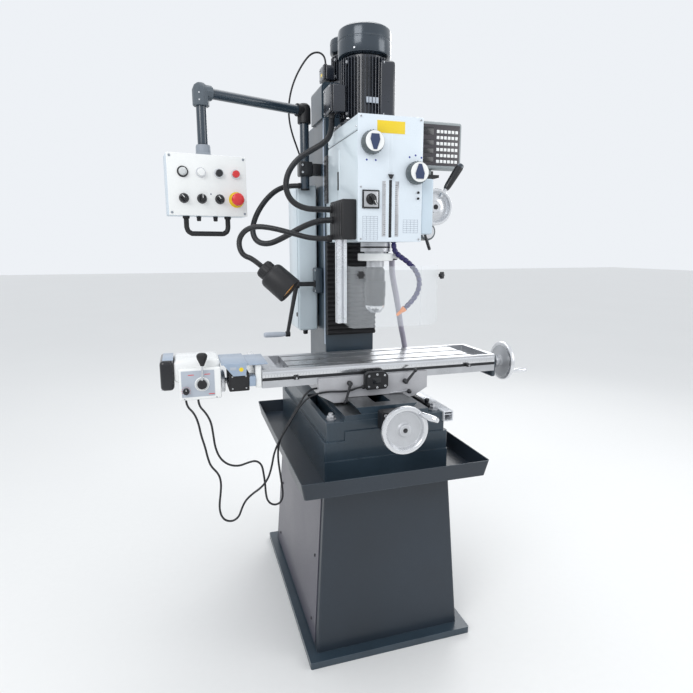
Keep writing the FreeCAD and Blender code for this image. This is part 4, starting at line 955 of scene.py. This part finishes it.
def make_head():
    p = Piece("head_case")
    p.box(-HALF, HALF, -343, 0, 1396, LID, pale, 5, 4)
    p.box(-HALF, HALF, -343, 0, LID + 1.2, head.z1, pale, 5, 4)
    p.box(-HALF + 3, HALF - 3, -340, -3, LID - 2, LID + 3, black_plastic)
    for x in (-HALF, HALF):
        way = -X if x < 0 else X
        for y in (-330, -14):
            p.screw((x, y, LID + 12), way, 3.4, chrome)
    p.box(-HALF - 1.2, -HALF + 1, -150, -120, 1440, 1700, pale, 0.8)
    p.box(-HALF - 3.2, -HALF - 1, -141, -129, 1570, 1630, black_plastic, 2)
    p.box(-95, 95, 0.2, head.y1, 1400, 1712, pale, 4, 3)
    p.done("head", "pale_paint", "head_housing")
    p = Piece("head_bracket_block")
    p.box(-110, -95.2, 0.2, 46, 1539, 1706, black_steel, 2)
    for k in range(9):
        p.box(-111.4, -109.5, 3, 43, 1546 + 17.5 * k, 1555 + 17.5 * k, black_steel, 1)
    p.done("head", "black_steel")
    p = Piece("quill_nose")
    p.lathe([(38, 0), (50, 0), (51, 1), (51, 12), (50.2, 12.6), (50.2, 17.6), (51, 18), (51, 31),
             (38, 31.8)], (0, -214, 1364), Z,
            ground_steel, 80)
    p.lathe([(50.3, 12.4), (51.3, 12.4), (51.3, 17.8), (50.3, 17.8)], (0, -214, 1364), Z, black_steel, 80)
    p.box(65, 75, -146, -134, 1346, 1396, black_steel, 1.5)
    p.box(58, 106, -156, -124, 1334.2, 1350, black_steel, 3)
    p.done("head", "bright_steel")
    p = Piece("readout_bracket")
    p.prism([(HALF + 0.2, -18, 1600), (HALF + 0.2, -18, 1652), (330, -18, 1652), (330, -18, 1642),
             (150, -18, 1600)],
            (0, 40, 0), black_steel)
    for x in (262, 307):
        p.box(x, x + 7, 0, 18, 1651, 1668, black_steel, 1)
    p.rod((264, 9, 1661), (312, 9, 1661), 4, chrome)
    for x, z in ((122, 1612), (122, 1640), (148, 1640)):
        p.screw((x, -18, z), -Y, 4, chrome)
    p.done("head", "black_steel")
    make_front_plate()
    make_speed_knobs()
    make_head_motor()


def make_front_plate():
    z0, z1 = plate_box.z0, plate_box.z1
    p = Piece("front_plate")
    for x0, x1, a, b in ((-107, -5, z0, z1), (5, 107, z0, z1), (-5.5, 5.5, z0, 1409),
                         (-5.5, 5.5, 1584, z1)):
        p.box(x0, x1, FACE, FACE + 3, a, b, pale_plate, 0.25 if x1 - x0 < 20 else 0.6)
    p.box(-4.6, 4.6, FACE + 2.4, FACE + 4, 1409, 1584, gloss_black)
    for x, z in ((-98, z1 - 8), (98, z1 - 8), (-98, 1560), (-98, z0 + 8), (98, z0 + 8)):
        p.screw((x, FACE, z), -Y, 3.6, chrome)
    p.box(-46, 45, FACE - 0.5, FACE, 1720, 1756, yellow_plastic, 0.2)
    p.box(-94, -38, FACE - 5.9, FACE - 0.1, 1496, 1552, gloss_black, 2)
    p.box(-89, -43, FACE - 6.6, FACE - 5.5, 1501, 1547, ground_steel, 0.6)
    for x in (-28, 15.5):
        p.box(x, x + 12, FACE - 0.7, FACE, 1412, 1580, ground_steel, 0.2)
        inner = x + 12 if x < 0 else x
        for k in range(26):
            z, long = 1418 + 6 * k, (8 if k % 5 == 0 else 4.5)
            x0, x1 = (inner - long, inner) if x < 0 else (inner, inner + long)
            p.box(x0, x1, FACE - 0.95, FACE - 0.6, z - 0.5, z + 0.5, gloss_black)
    for x, z, w, h in ((-91, 1401, 49, 72), (44, 1424, 50, 40)):
        rows = int(h / 6)
        for k in range(rows + 1):
            p.box(x, x + w, FACE - 0.15, FACE, z + k * h / rows - 0.25, z + k * h / rows + 0.25, navy)
        for k in range(5):
            p.box(x + k * w / 4 - 0.25, x + k * w / 4 + 0.25, FACE - 0.15, FACE, z, z + h, navy)
    for x, z in ((-79, 1640), (-50, 1640), (62, 1654), (82, 1660), (102, 1654)):
        p.lathe([(0, 0), (3, 0), (3, 0.2), (0, 0.2)], (x, FACE, z), -Y, blue_print, 24)
    for x, z in ((93, 1548), (93, 1530)):
        p.lathe([(0, 0), (3.6, 0), (3.6, 5), (2.8, 6.4), (0, 6.4)], (x, FACE, z), -Y, black_plastic, 24)
    p.done("head", "pale_paint", "head_front_plate")
    p = Piece("depth_pointer")
    p.prism([(-9, FACE - 4, 1600), (9, FACE - 4, 1600), (2.5, FACE - 4, 1586), (-2.5, FACE - 4, 1586)],
            (0, 3.8, 0), black_steel)
    p.lathe([(0, 0), (5, 0), (5, 4), (4, 5), (0, 5)], (0, FACE - 3.8, 1594), -Y, gloss_black, 28)
    p.done("head", "black_steel")


def make_speed_knobs():
    for name, downwards in (("speed_knob_upper", 180), ("speed_knob_lower", 0)):
        box = place(name)
        at = (box.xc, FACE - 0.2, box.zc)
        p = Piece(name + "_dial")
        p.rod((box.xc, FACE - 0.3, box.zc), (box.xc, FACE + 2.2, box.zc), 6, chrome)
        p.lathe([(0, 0), (30, 0), (34, 3), (35, 8), (35, 12), (33, 22), (31.4, 32), (30, 34), (0, 34)], at,
                -Y, cylinder_grey, 72)
        p.lathe([(0, 33.6), (29.4, 33.6), (29.4, 35.2), (28.6, 35.8), (0, 35.8)], at, -Y, white_plastic, 72)
        turn = Matrix.Translation((box.xc, FACE - 0.2 - 35.8,
                                   box.zc)) @ Matrix.Rotation(math.radians(downwards), 4, "Y")
        wedge = [turn @ Vector(q) for q in ((-12, 0, -20), (12, 0, -20), (15, 0, -4), (5, 0, 24),
                                            (-5, 0, 24), (-15, 0, -4))]
        p.prism(wedge, (0, -2.2, 0), navy)
        for k in range(24):
            a = 2 * math.pi * k / 24
            ridge = Matrix.Translation(Vector(at)) @ Matrix.Rotation(a, 4, "Y")
            p.box(-1.2, 1.2, -20, -8, 33.6, 35.2, cylinder_grey, 0.5, 1, matrix=ridge)
        p.done(name, "fan_cover_paint", name)
    box = place("main_switch")
    at = (box.xc, FACE - 6.3, box.zc)
    p = Piece("main_switch_lever")
    p.lathe([(0, 0), (17, 0), (17, 3), (14, 6), (13, 14), (0, 14)], at, -Y, black_plastic, 48)
    turn = Matrix.Translation(Vector(at)) @ Matrix.Rotation(math.radians(150), 4, "Y")
    p.box(-5, 5, -24, -13, -14, 20, gloss_black, 3, 3, matrix=turn)
    p.box(-0.8, 0.8, -24.6, -23.6, 6, 18, white_plastic, matrix=turn)
    p.done("main_switch", "black_plastic", "main_switch")


def make_head_motor():
    fan = place("motor_fan_cover")
    p = Piece("spindle_motor")
    p.box(-96, 96, -177, -4, head.z1 + 0.2, head.z1 + 22, motor_black, 18, 4)
    motor(p, 0, -89, head.z1 + 22, fan.z1, 72, 44, 85, 90, 92)
    p.box(28, 86, -168, -118, head.z1 + 30, 1990, motor_black, 12, 5)
    p.box(-20, 22, -172.5, -168, 1850, 1868, membrane, 0.5)
    terminal_box(p, -134, -80, -134, -47, 1823, 1910, motor_black)
    gland(p, (-119, -99, 1823), -Z, 11, 18)
    for x in (-82, 82):
        for y in (-163, -18):
            p.screw((x, y, head.z1 + 22), Z, 6, chrome)
    p.done("head", "motor_paint", "motor_body", "motor_fan_cover")


def make_gearbox():
    case, hub = place("feed_gearbox"), place("feed_hub")
    p = Piece("gearbox_case")
    p.box(HALF + 0.2, 150, -342, -60, 1420, case.z1, gearbox_blue, 6, 4)
    p.box(140, case.x1, -176, -90, 1460, 1572, gearbox_blue, 12, 4)
    p.box(148, 236, -170, -100, 1440, 1475, gearbox_blue, 4, 3)
    p.lathe([(0, 0), (29, 0), (31, 2), (31, 80), (0, 80)], (212, -176, 1434), Y, cylinder_grey, 56)
    p.lathe([(0, 0), (25, 0), (24, 3), (0, 3)], (212, -176, 1434), -Y, aluminium, 56)
    for z in (1436, 1577):
        for y in (-326, -76):
            p.screw((150, y, z), X, 4, ground_steel)
    p.done("head", "pale_paint", "feed_gearbox")
    x, y, z = 217, hub.y0, 1516
    p = Piece("feed_hub_dish")
    p.lathe([(0, 6), (8, 6), (9, 4), (18, 4), (20, 6), (20, 14), (24, 16), (46, 18), (49, 14), (51, 4),
             (53, 0.6), (56, 0),
             (60, 0.4), (62, 4), (62, 22), (60, 28), (54, 30), (54, 46), (52, 52), (0, 52)], (x, y, z), Y,
            aluminium, 96)
    p.lathe([(0, 0), (7, 0), (7.5, 1), (7.5, 4), (0, 4)], (x, y + 2.4, z), Y, black_steel, 28)
    p.lathe([(54.6, 31), (55.6, 31), (55.6, 51), (54.6, 51)], (x, y, z), Y, fan_grey, 80)
    p.rod((x, y + 45, z), (x, y + 85, z), 14, ground_steel)
    u = Vector((65, 0, 97)).normalized()
    centre = Vector((x, y + 14, z))
    p.rod(centre + u * 40, centre + u * 110, 6, chrome)
    p.lathe([(0, 0), (9, 0), (11, 6), (12, 14), (13.6, 60), (14, 88), (0, 88)], centre + u * 74, u,
            gloss_black, 48)
    p.lathe([(0, 88), (13.8, 88), (13.4, 95), (10.4, 100.6), (5, 102), (0, 102)], centre + u * 74, u,
            fan_grey, 48)
    p.done("feed_hub", "cast_aluminium", "feed_hub")
    lock = place("quill_lock")
    p = Piece("quill_lock_handle")
    p.lathe([(0, 0), (9, 0), (9, 15), (7.5, 18), (0, 18)], (lock.x0, -250, 1437), X, black_steel, 32)
    root, end = Vector((161, -250, 1436)), Vector((184, -254, 1369))
    p.lathe([(0, 0), (3.4, 0), (4, 14), (5.6, 40), (5.4, 66), (4, 70), (0, 70)], root, end - root,
            gloss_black, 28)
    p.done("quill_lock", "black_steel", "quill_lock")


def make_readout():
    box = place("dro_display")
    x0, x1, z0, z1, front = box.x0, box.x1, 1674, box.z1, box.y0
    p = Piece("readout")
    p.box(x0, x1, front, box.y1, z0, z1, dro_grey, 11, 5)
    p.box(x0 + 11, x1 - 11, front - 0.0, front + 2, z0 + 11, z1 - 11, dro_panel, 0.8)
    p.box(x0 + 10, x1 - 10, front - 0.3, front + 1, z0 + 12, z1 - 12, dro_panel, 0.5)
    p.box(x0 + 38, x0 + 146, front - 0.7, front, z0 + 122, z1 - 22, gloss_black, 0.3)
    for row in range(3):
        p.box(x0 + 38, x0 + 146, front - 0.7, front, z0 + 24 + 31 * row, z0 + 44 + 31 * row, gloss_black,
              0.3)
    key = 11.5
    for row in range(6):
        for column in range(6):
            x, z = x0 + 158 + 15.5 * column, z0 + 22 + 21.5 * row
            p.box(x, x + key, front - 1.6, front, z, z + key, white_plastic, 1)
    for x, z in ((16, 128), (16, 104), (16, 80), (16, 40), (16, 22), (30 - 1, 40), (30 - 1, 22)):
        p.box(x0 + x, x0 + x + 9.5, front - 1.6, front, z0 + z, z0 + z + 9.5, white_plastic, 1)
    p.box(270, 306, 0, 18, 1654.5, 1675, dro_grey, 1.5)
    p.box(x0 + 30, x1 - 30, box.y1 - 1, box.y1 + 0.0, z0 + 20, z1 - 20, black_plastic, 0.3)
    p.done("dro", "grey_plastic", "dro_display")


# ---- guard, quill and lamp ---------------------------------------------------------------------------------
def sheet_outline(points, thick):
    """A plan outline of a folded sheet, from its outer face's points."""
    inner = []
    for i, at in enumerate(points):
        along = (points[min(i + 1, len(points) - 1)] - points[max(i - 1, 0)]).normalized()
        inner.append(at - along.cross(Z) * thick)
    return points + inner[::-1]


def make_guard():
    block = place("guard_switch_block")
    p = Piece("guard_block")
    p.box(-152, -HALF - 0.3, block.y0, block.y1, 1403, block.z1, black_plastic, 4, 3)
    for k in range(6):
        p.box(-153.2, -151, block.y0 + 11 + 24 * k, block.y0 + 21 + 24 * k, 1412, 1516, black_plastic, 1)
    p.lathe([(0, 0), (12, 0), (12, 12), (10, 16), (0, 16)], (-152, -205, 1407), -X, black_plastic, 28)
    for y, z in ((-212, 1500), (-222, 1466)):
        p.lathe([(0, 0), (13, 0), (13, 8), (0, 8)], (-150, y, z), -X, black_plastic, 6)
    p.done("head", "black_plastic", "guard_switch_block")
    gx, gy, w = -143, -285, 15
    p = Piece("guard_extrusion")
    outline = []
    for k in range(4):
        turn = Matrix.Rotation(math.radians(90 * k), 4, "Z")
        for x, y in ((-w, -w), (-4, -w), (-4, -w + 3), (-7, -w + 3), (-7, -8), (7, -8), (7, -w + 3),
                     (4, -w + 3), (4, -w)):
            outline.append(Vector((gx, gy, 1136)) + turn @ Vector((x, y, 0)))
    p.prism(outline, (0, 0, 1402.6 - 1136), extrusion)
    p.done("guard", "clear_polycarbonate", "guard_screen")
    plan = [(-127.8, -274), (-127.8, -304), (-136, -348), (-124, -367), (-104, -371), (100, -371),
            (128, -367), (188, -312)]
    p = Piece("guard_sheet")
    points = [Vector((x, y, 1128)) for x, y in plan]
    p.prism(sheet_outline(points[:5], 4), (0, 0, 192), clear)
    p.prism([Vector((-104, -371, 1128)), Vector((100, -371, 1128)), Vector((100, -367, 1128)),
             Vector((-104, -367, 1128))],
            (0, 0, 192), clear)
    p.prism(sheet_outline(points[5:], 4), (0, 0, 192), clear)
    p.done("guard", "clear_polycarbonate")
    p = Piece("guard_knobs")
    for at, way in (((-108, -371.4, 1295), -Y), ((190, -318, 1287), Vector((0.67, -0.74, 0)))):
        at = Vector(at)
        p.lathe([(0, 0), (6, 0), (6, 6), (0, 6)], at, way, black_plastic, 24)
        star(p, at + Vector(way).normalized() * 5, way, 13, 10, black_plastic)
    p.done("guard", "black_plastic")


def star(p, at, axis, r, height, material, arms=6):
    """A star grip with rounded lobes."""
    turn = turn_to(axis, at)
    n = arms * 8
    points = []
    for h, share in ((0, 0.92), (2, 1.0), (height - 2, 1.0), (height, 0.86)):
        for k in range(n):
            a = 2 * math.pi * k / n
            radius = r * share * (0.86 + 0.14 * math.cos(arms * a))
            points.append(turn @ Vector((radius * math.cos(a), radius * math.sin(a), h)))
    faces = [list(range(n)), [3 * n + k for k in range(n)]]
    for row in range(3):
        for k in range(n):
            j = (k + 1) % n
            faces.append([row * n + k, row * n + j, (row + 1) * n + j, (row + 1) * n + k])
    p.take(points, faces, material)


def make_spindle():
    at = (0, -214, 0)
    p = Piece("quill_body")
    p.lathe([(21, 1333), (36, 1333), (37.5, 1334.5), (37.5, 1420), (21, 1420)], at, Z, ground_steel, 72)
    p.lathe([(38, 1334), (58, 1334), (60, 1336), (60, 1357), (58, 1359), (38, 1359)], at, Z, white_plastic,
            80)
    p.box(57, 92, -234, -194, 1340, 1359, white_plastic, 4)
    p.screw((76, -234, 1349.5), -Y, 4.5, chrome)
    p.done("quill", "bright_steel", "quill")
    p = Piece("chuck")
    p.lathe([(0, 1313), (29, 1313), (30, 1314), (30, 1332.5), (0, 1332.5)], at, Z, ground_steel, 64)
    base = 1182.8
    p.lathe([(8, base), (33, base), (34, base + 1), (34, base + 26), (36, base + 30), (36, base + 82),
             (33, base + 84),
             (33, base + 118), (30, base + 124), (26, base + 130.2), (8, base + 130.2)], at, Z, black_steel,
            72)
    for k in range(40):
        turn = Matrix.Translation(at) @ Matrix.Rotation(2 * math.pi * k / 40, 4, "Z")
        p.box(35.2, 36.0, -1.5, 1.5, base + 34, base + 78, black_steel, 0.3, 1, matrix=turn)
    p.lathe([(7, 1158), (20, 1158), (22, 1159), (33.6, 1176), (34, 1178), (34, 1182.6), (7, 1182.6)], at, Z,
            chrome, 64)
    for k in range(3):
        turn = Matrix.Translation(at) @ Matrix.Rotation(2 * math.pi * k / 3, 4, "Z")
        p.box(6.6, 15, -3.4, 3.4, 1158.5, 1176, ground_steel, 0.6, 1, matrix=turn)
    p.done("spindle", "black_steel", "drill_chuck")


def make_lamp():
    rear, front = Vector((-384, -204, 1317)), Vector((-302, -246, 1240))
    n = (front - rear).length
    p = Piece("lamp_shell")
    p.lathe([(0, 0), (10, 0), (27, 3), (29, 6), (30, 30), (38, 33), (42, 38), (44, 46), (45, n - 3),
             (44, n), (40, n),
             (39, n - 3), (38, n - 13), (0, n - 13)], rear, front - rear, black_plastic, 72)
    p.lathe([(0, n - 13.4), (38, n - 13.4), (36, n - 9), (24, n - 5.4), (0, n - 3.6)], rear, front - rear,
            amber, 64)
    turn = turn_to(front - rear, rear)
    for k in range(18):
        at = turn @ Matrix.Rotation(2 * math.pi * k / 18, 4, "Z")
        p.box(28.6, 30.6, -1.5, 1.5, 9, 27, black_plastic, 0.6, 1, matrix=at)
    p.done("head", "black_plastic", "lamp_head")


# ---- pendant -----------------------------------------------------------------------------------------------
def make_pendant_arm():
    post, arm = place("pendant_post"), place("pendant_arm")
    px, py, dx, dy, z = -160, 141, -541, -1, 1884
    p = Piece("pendant_mast")
    p.rod((px, py, post.z0), (px, py, post.z1), 17, tube_slate, 40)
    p.lathe([(0, 0), (17.5, 0), (17.5, 4), (0, 4)], (px, py, post.z0 - 0.0), Z, black_plastic, 40)
    p.box(px - 26, px + 26, py - 26, py + 22, 1646, 1700, black_steel, 6, 3)
    p.box(px + 26.2, -100.2, py - 20, py + 18, 1652, 1694, black_steel, 2)
    for zz in (1660, 1686):
        p.screw((px - 14, py - 26, zz), -Y, 4, chrome)
    p.lathe([(0, 0), (12, 0), (12, 9), (0, 9)], (px - 17, py, 1612), -X, black_plastic, 6)
    p.done("base", "slate_paint", "pendant_post")
    u = (Vector((dx, dy, 0)) - Vector((px, py, 0))).normalized()
    p = Piece("pendant_boom")
    start, end = Vector((px, py, z)), Vector((dx, dy, z))
    p.rod(start + u * 14, end - u * 14, 17, tube_slate, 48)
    p.lathe([(0, 0), (24, 0), (25, 1.5), (25, 52), (22, 64), (14, 71), (0, 72)], (px, py, z - 45.5), Z,
            black_plastic, 48)
    p.lathe([(0, 0), (23, 0), (23, 24), (0, 24)], start + u * 8, u, black_plastic, 48)
    p.lathe([(0, 0), (26, 0), (27, 1.5), (27, 50), (20, 66), (12, 72), (0, 72)], (dx, dy, z - 45), Z,
            elbow_grey, 10)
    p.lathe([(0, 0), (24, 0), (24, 28), (0, 28)], end - u * 36, u, elbow_grey, 10)
    for zz in (z - 30, z - 8):
        p.lathe([(0, 0), (2.6, 0), (2.6, 1.4), (0, 1.4)], (dx - 6, dy - 24.8, zz), -Y, chrome, 16)
    p.rod((dx, dy, arm.z0), (dx, dy, z - 40), 17, tube_slate, 48)
    p.done("pendant_arm", "slate_paint", "pendant_arm")


def make_pendant_box():
    dx, dy = -541, -1
    turn = Matrix.Translation((dx, dy, 0)) @ Matrix.Rotation(math.radians(7), 4, "Z")
    out = turn.to_3x3() @ -Y
    front, z0, z1, half = -45, 1483, 1680, 129

    def at(x, y, z):
        return turn @ Vector((x + 3, y, z))

    p = Piece("pendant_case")
    p.box(-half + 3, half + 3, front + 3.5, 45, z0, z1, gearbox_blue, 3, 3, matrix=turn)
    p.box(-half + 4, half + 2, front + 2.8, front + 4, z0 + 1, z1 - 1, black_plastic, matrix=turn)
    p.box(-half + 3, half + 3, front, front + 3, z0, z1, white_plastic, 1.2, 3, matrix=turn)
    for x in (-half + 9, half - 9):
        for z in (z0 + 9, z1 - 9):
            p.lathe([(0, 0), (4, 0), (4, 1.2), (3, 1.8), (0, 1.8)], at(x, front, z), out, grey_print, 24)
    p.lathe([(0, 0), (27, 0), (27, 6), (24, 10), (24, 30), (22, 36), (0, 37)], (dx, dy, z1), Z, grey_print,
            48)
    for x in (-28, 28):
        gland(p, at(x, 0, z0), -Z, 8, 16)
    corner = [(-70, z0), (-70, 1446), (-66, 1433), (-54, 1425), (54, 1425), (66, 1433), (70, 1446),
              (70, z0)]
    path = [at(x, 0, z) for x, z in corner]
    p.tube(even_points(path, 6), lambda s: 8.5, black_plastic, 20)
    for x in (-70, 70):
        p.lathe([(0, 0), (12, 0), (11, 8), (0, 8)], at(x, 0, z0), -Z, black_plastic, 28)
    bx, top, low = (-80, -22, 37, 93), 1622, 1538
    p.lathe([(0, 0), (18, 0), (17, 4), (15.4, 6), (0, 6)], at(bx[0], front, top), out, black_plastic, 48)
    p.lathe([(0, 5.8), (13.6, 5.8), (12.6, 10), (8, 13.4), (0, 14)], at(bx[0], front, top), out, clear_lens,
            48)
    for x in bx[1:]:
        p.lathe([(0, 0), (16.5, 0), (16, 1.6), (12.6, 2.2), (0, 2.2)], at(x, front, top), out, chrome, 48)
    p.lathe([(0, 0), (26, 0), (26, 1.2), (0, 1.2)], at(bx[3], front, low), out, yellow_plastic, 56)
    p.lathe([(0, 1.2), (21, 1.2), (20, 4.6), (12, 5.4), (0, 5.4)], at(bx[3], front, low), out,
            yellow_plastic, 56)
    p.box(9, 13, front - 0.3, front, low + 14, low + 18, navy, matrix=turn)
    p.done("pendant_box", "white_plastic", "pendant_box")
    buttons = (("button_white", white_plastic, "white_plastic"),
               ("button_black", gloss_black, "black_plastic"),
               ("button_red", red_plastic, "red_plastic"))
    for (name, material, slot), x in zip(buttons, bx[1:]):
        p = Piece(name + "_cap")
        p.lathe([(0, 0), (12, 0), (12, 9.6), (11, 11.4), (8, 12), (0, 11.2)], at(x, front - 2.5, top), out,
                material, 48)
        p.done(name, slot, name)
    for k, angle in enumerate((-40, 0, -40)):
        p = Piece(f"selector_{k + 1}_knob")
        face = at(bx[k], front - 0.3, low)
        p.lathe([(0, 0), (16, 0), (16, 2), (14, 4), (13, 8), (0, 8)], face, out, gloss_black, 48)
        bar = turn @ Matrix.Translation((bx[k] + 3, front - 0.3,
                                         low)) @ Matrix.Rotation(math.radians(angle), 4, "Y")
        p.box(-5, 5, -23, -6, -13, 13, black_plastic, 3, 3, matrix=bar)
        p.box(-0.9, 0.9, -23.5, -22.5, 1, 12, white_plastic, matrix=bar)
        p.done(f"selector_{k + 1}", "black_plastic", f"selector_{k + 1}")
    p = Piece("stop_mushroom")
    p.lathe([(0, 0), (10, 0), (10, 11), (18, 13.5), (21, 16.5), (21, 22), (18.6, 26.4), (12, 29.8),
             (0, 31)],
            at(bx[3], front - 6, low), out, red_plastic, 64)
    p.done("emergency_stop", "red_plastic", "emergency_stop")


make_stage()
make_cords()
make_stand()
make_wheels()
make_saddle()
make_table()
make_power_feed()
make_column()
make_head()
make_gearbox()
make_readout()
make_guard()
make_spindle()
make_lamp()
make_pendant_arm()
make_pendant_box()
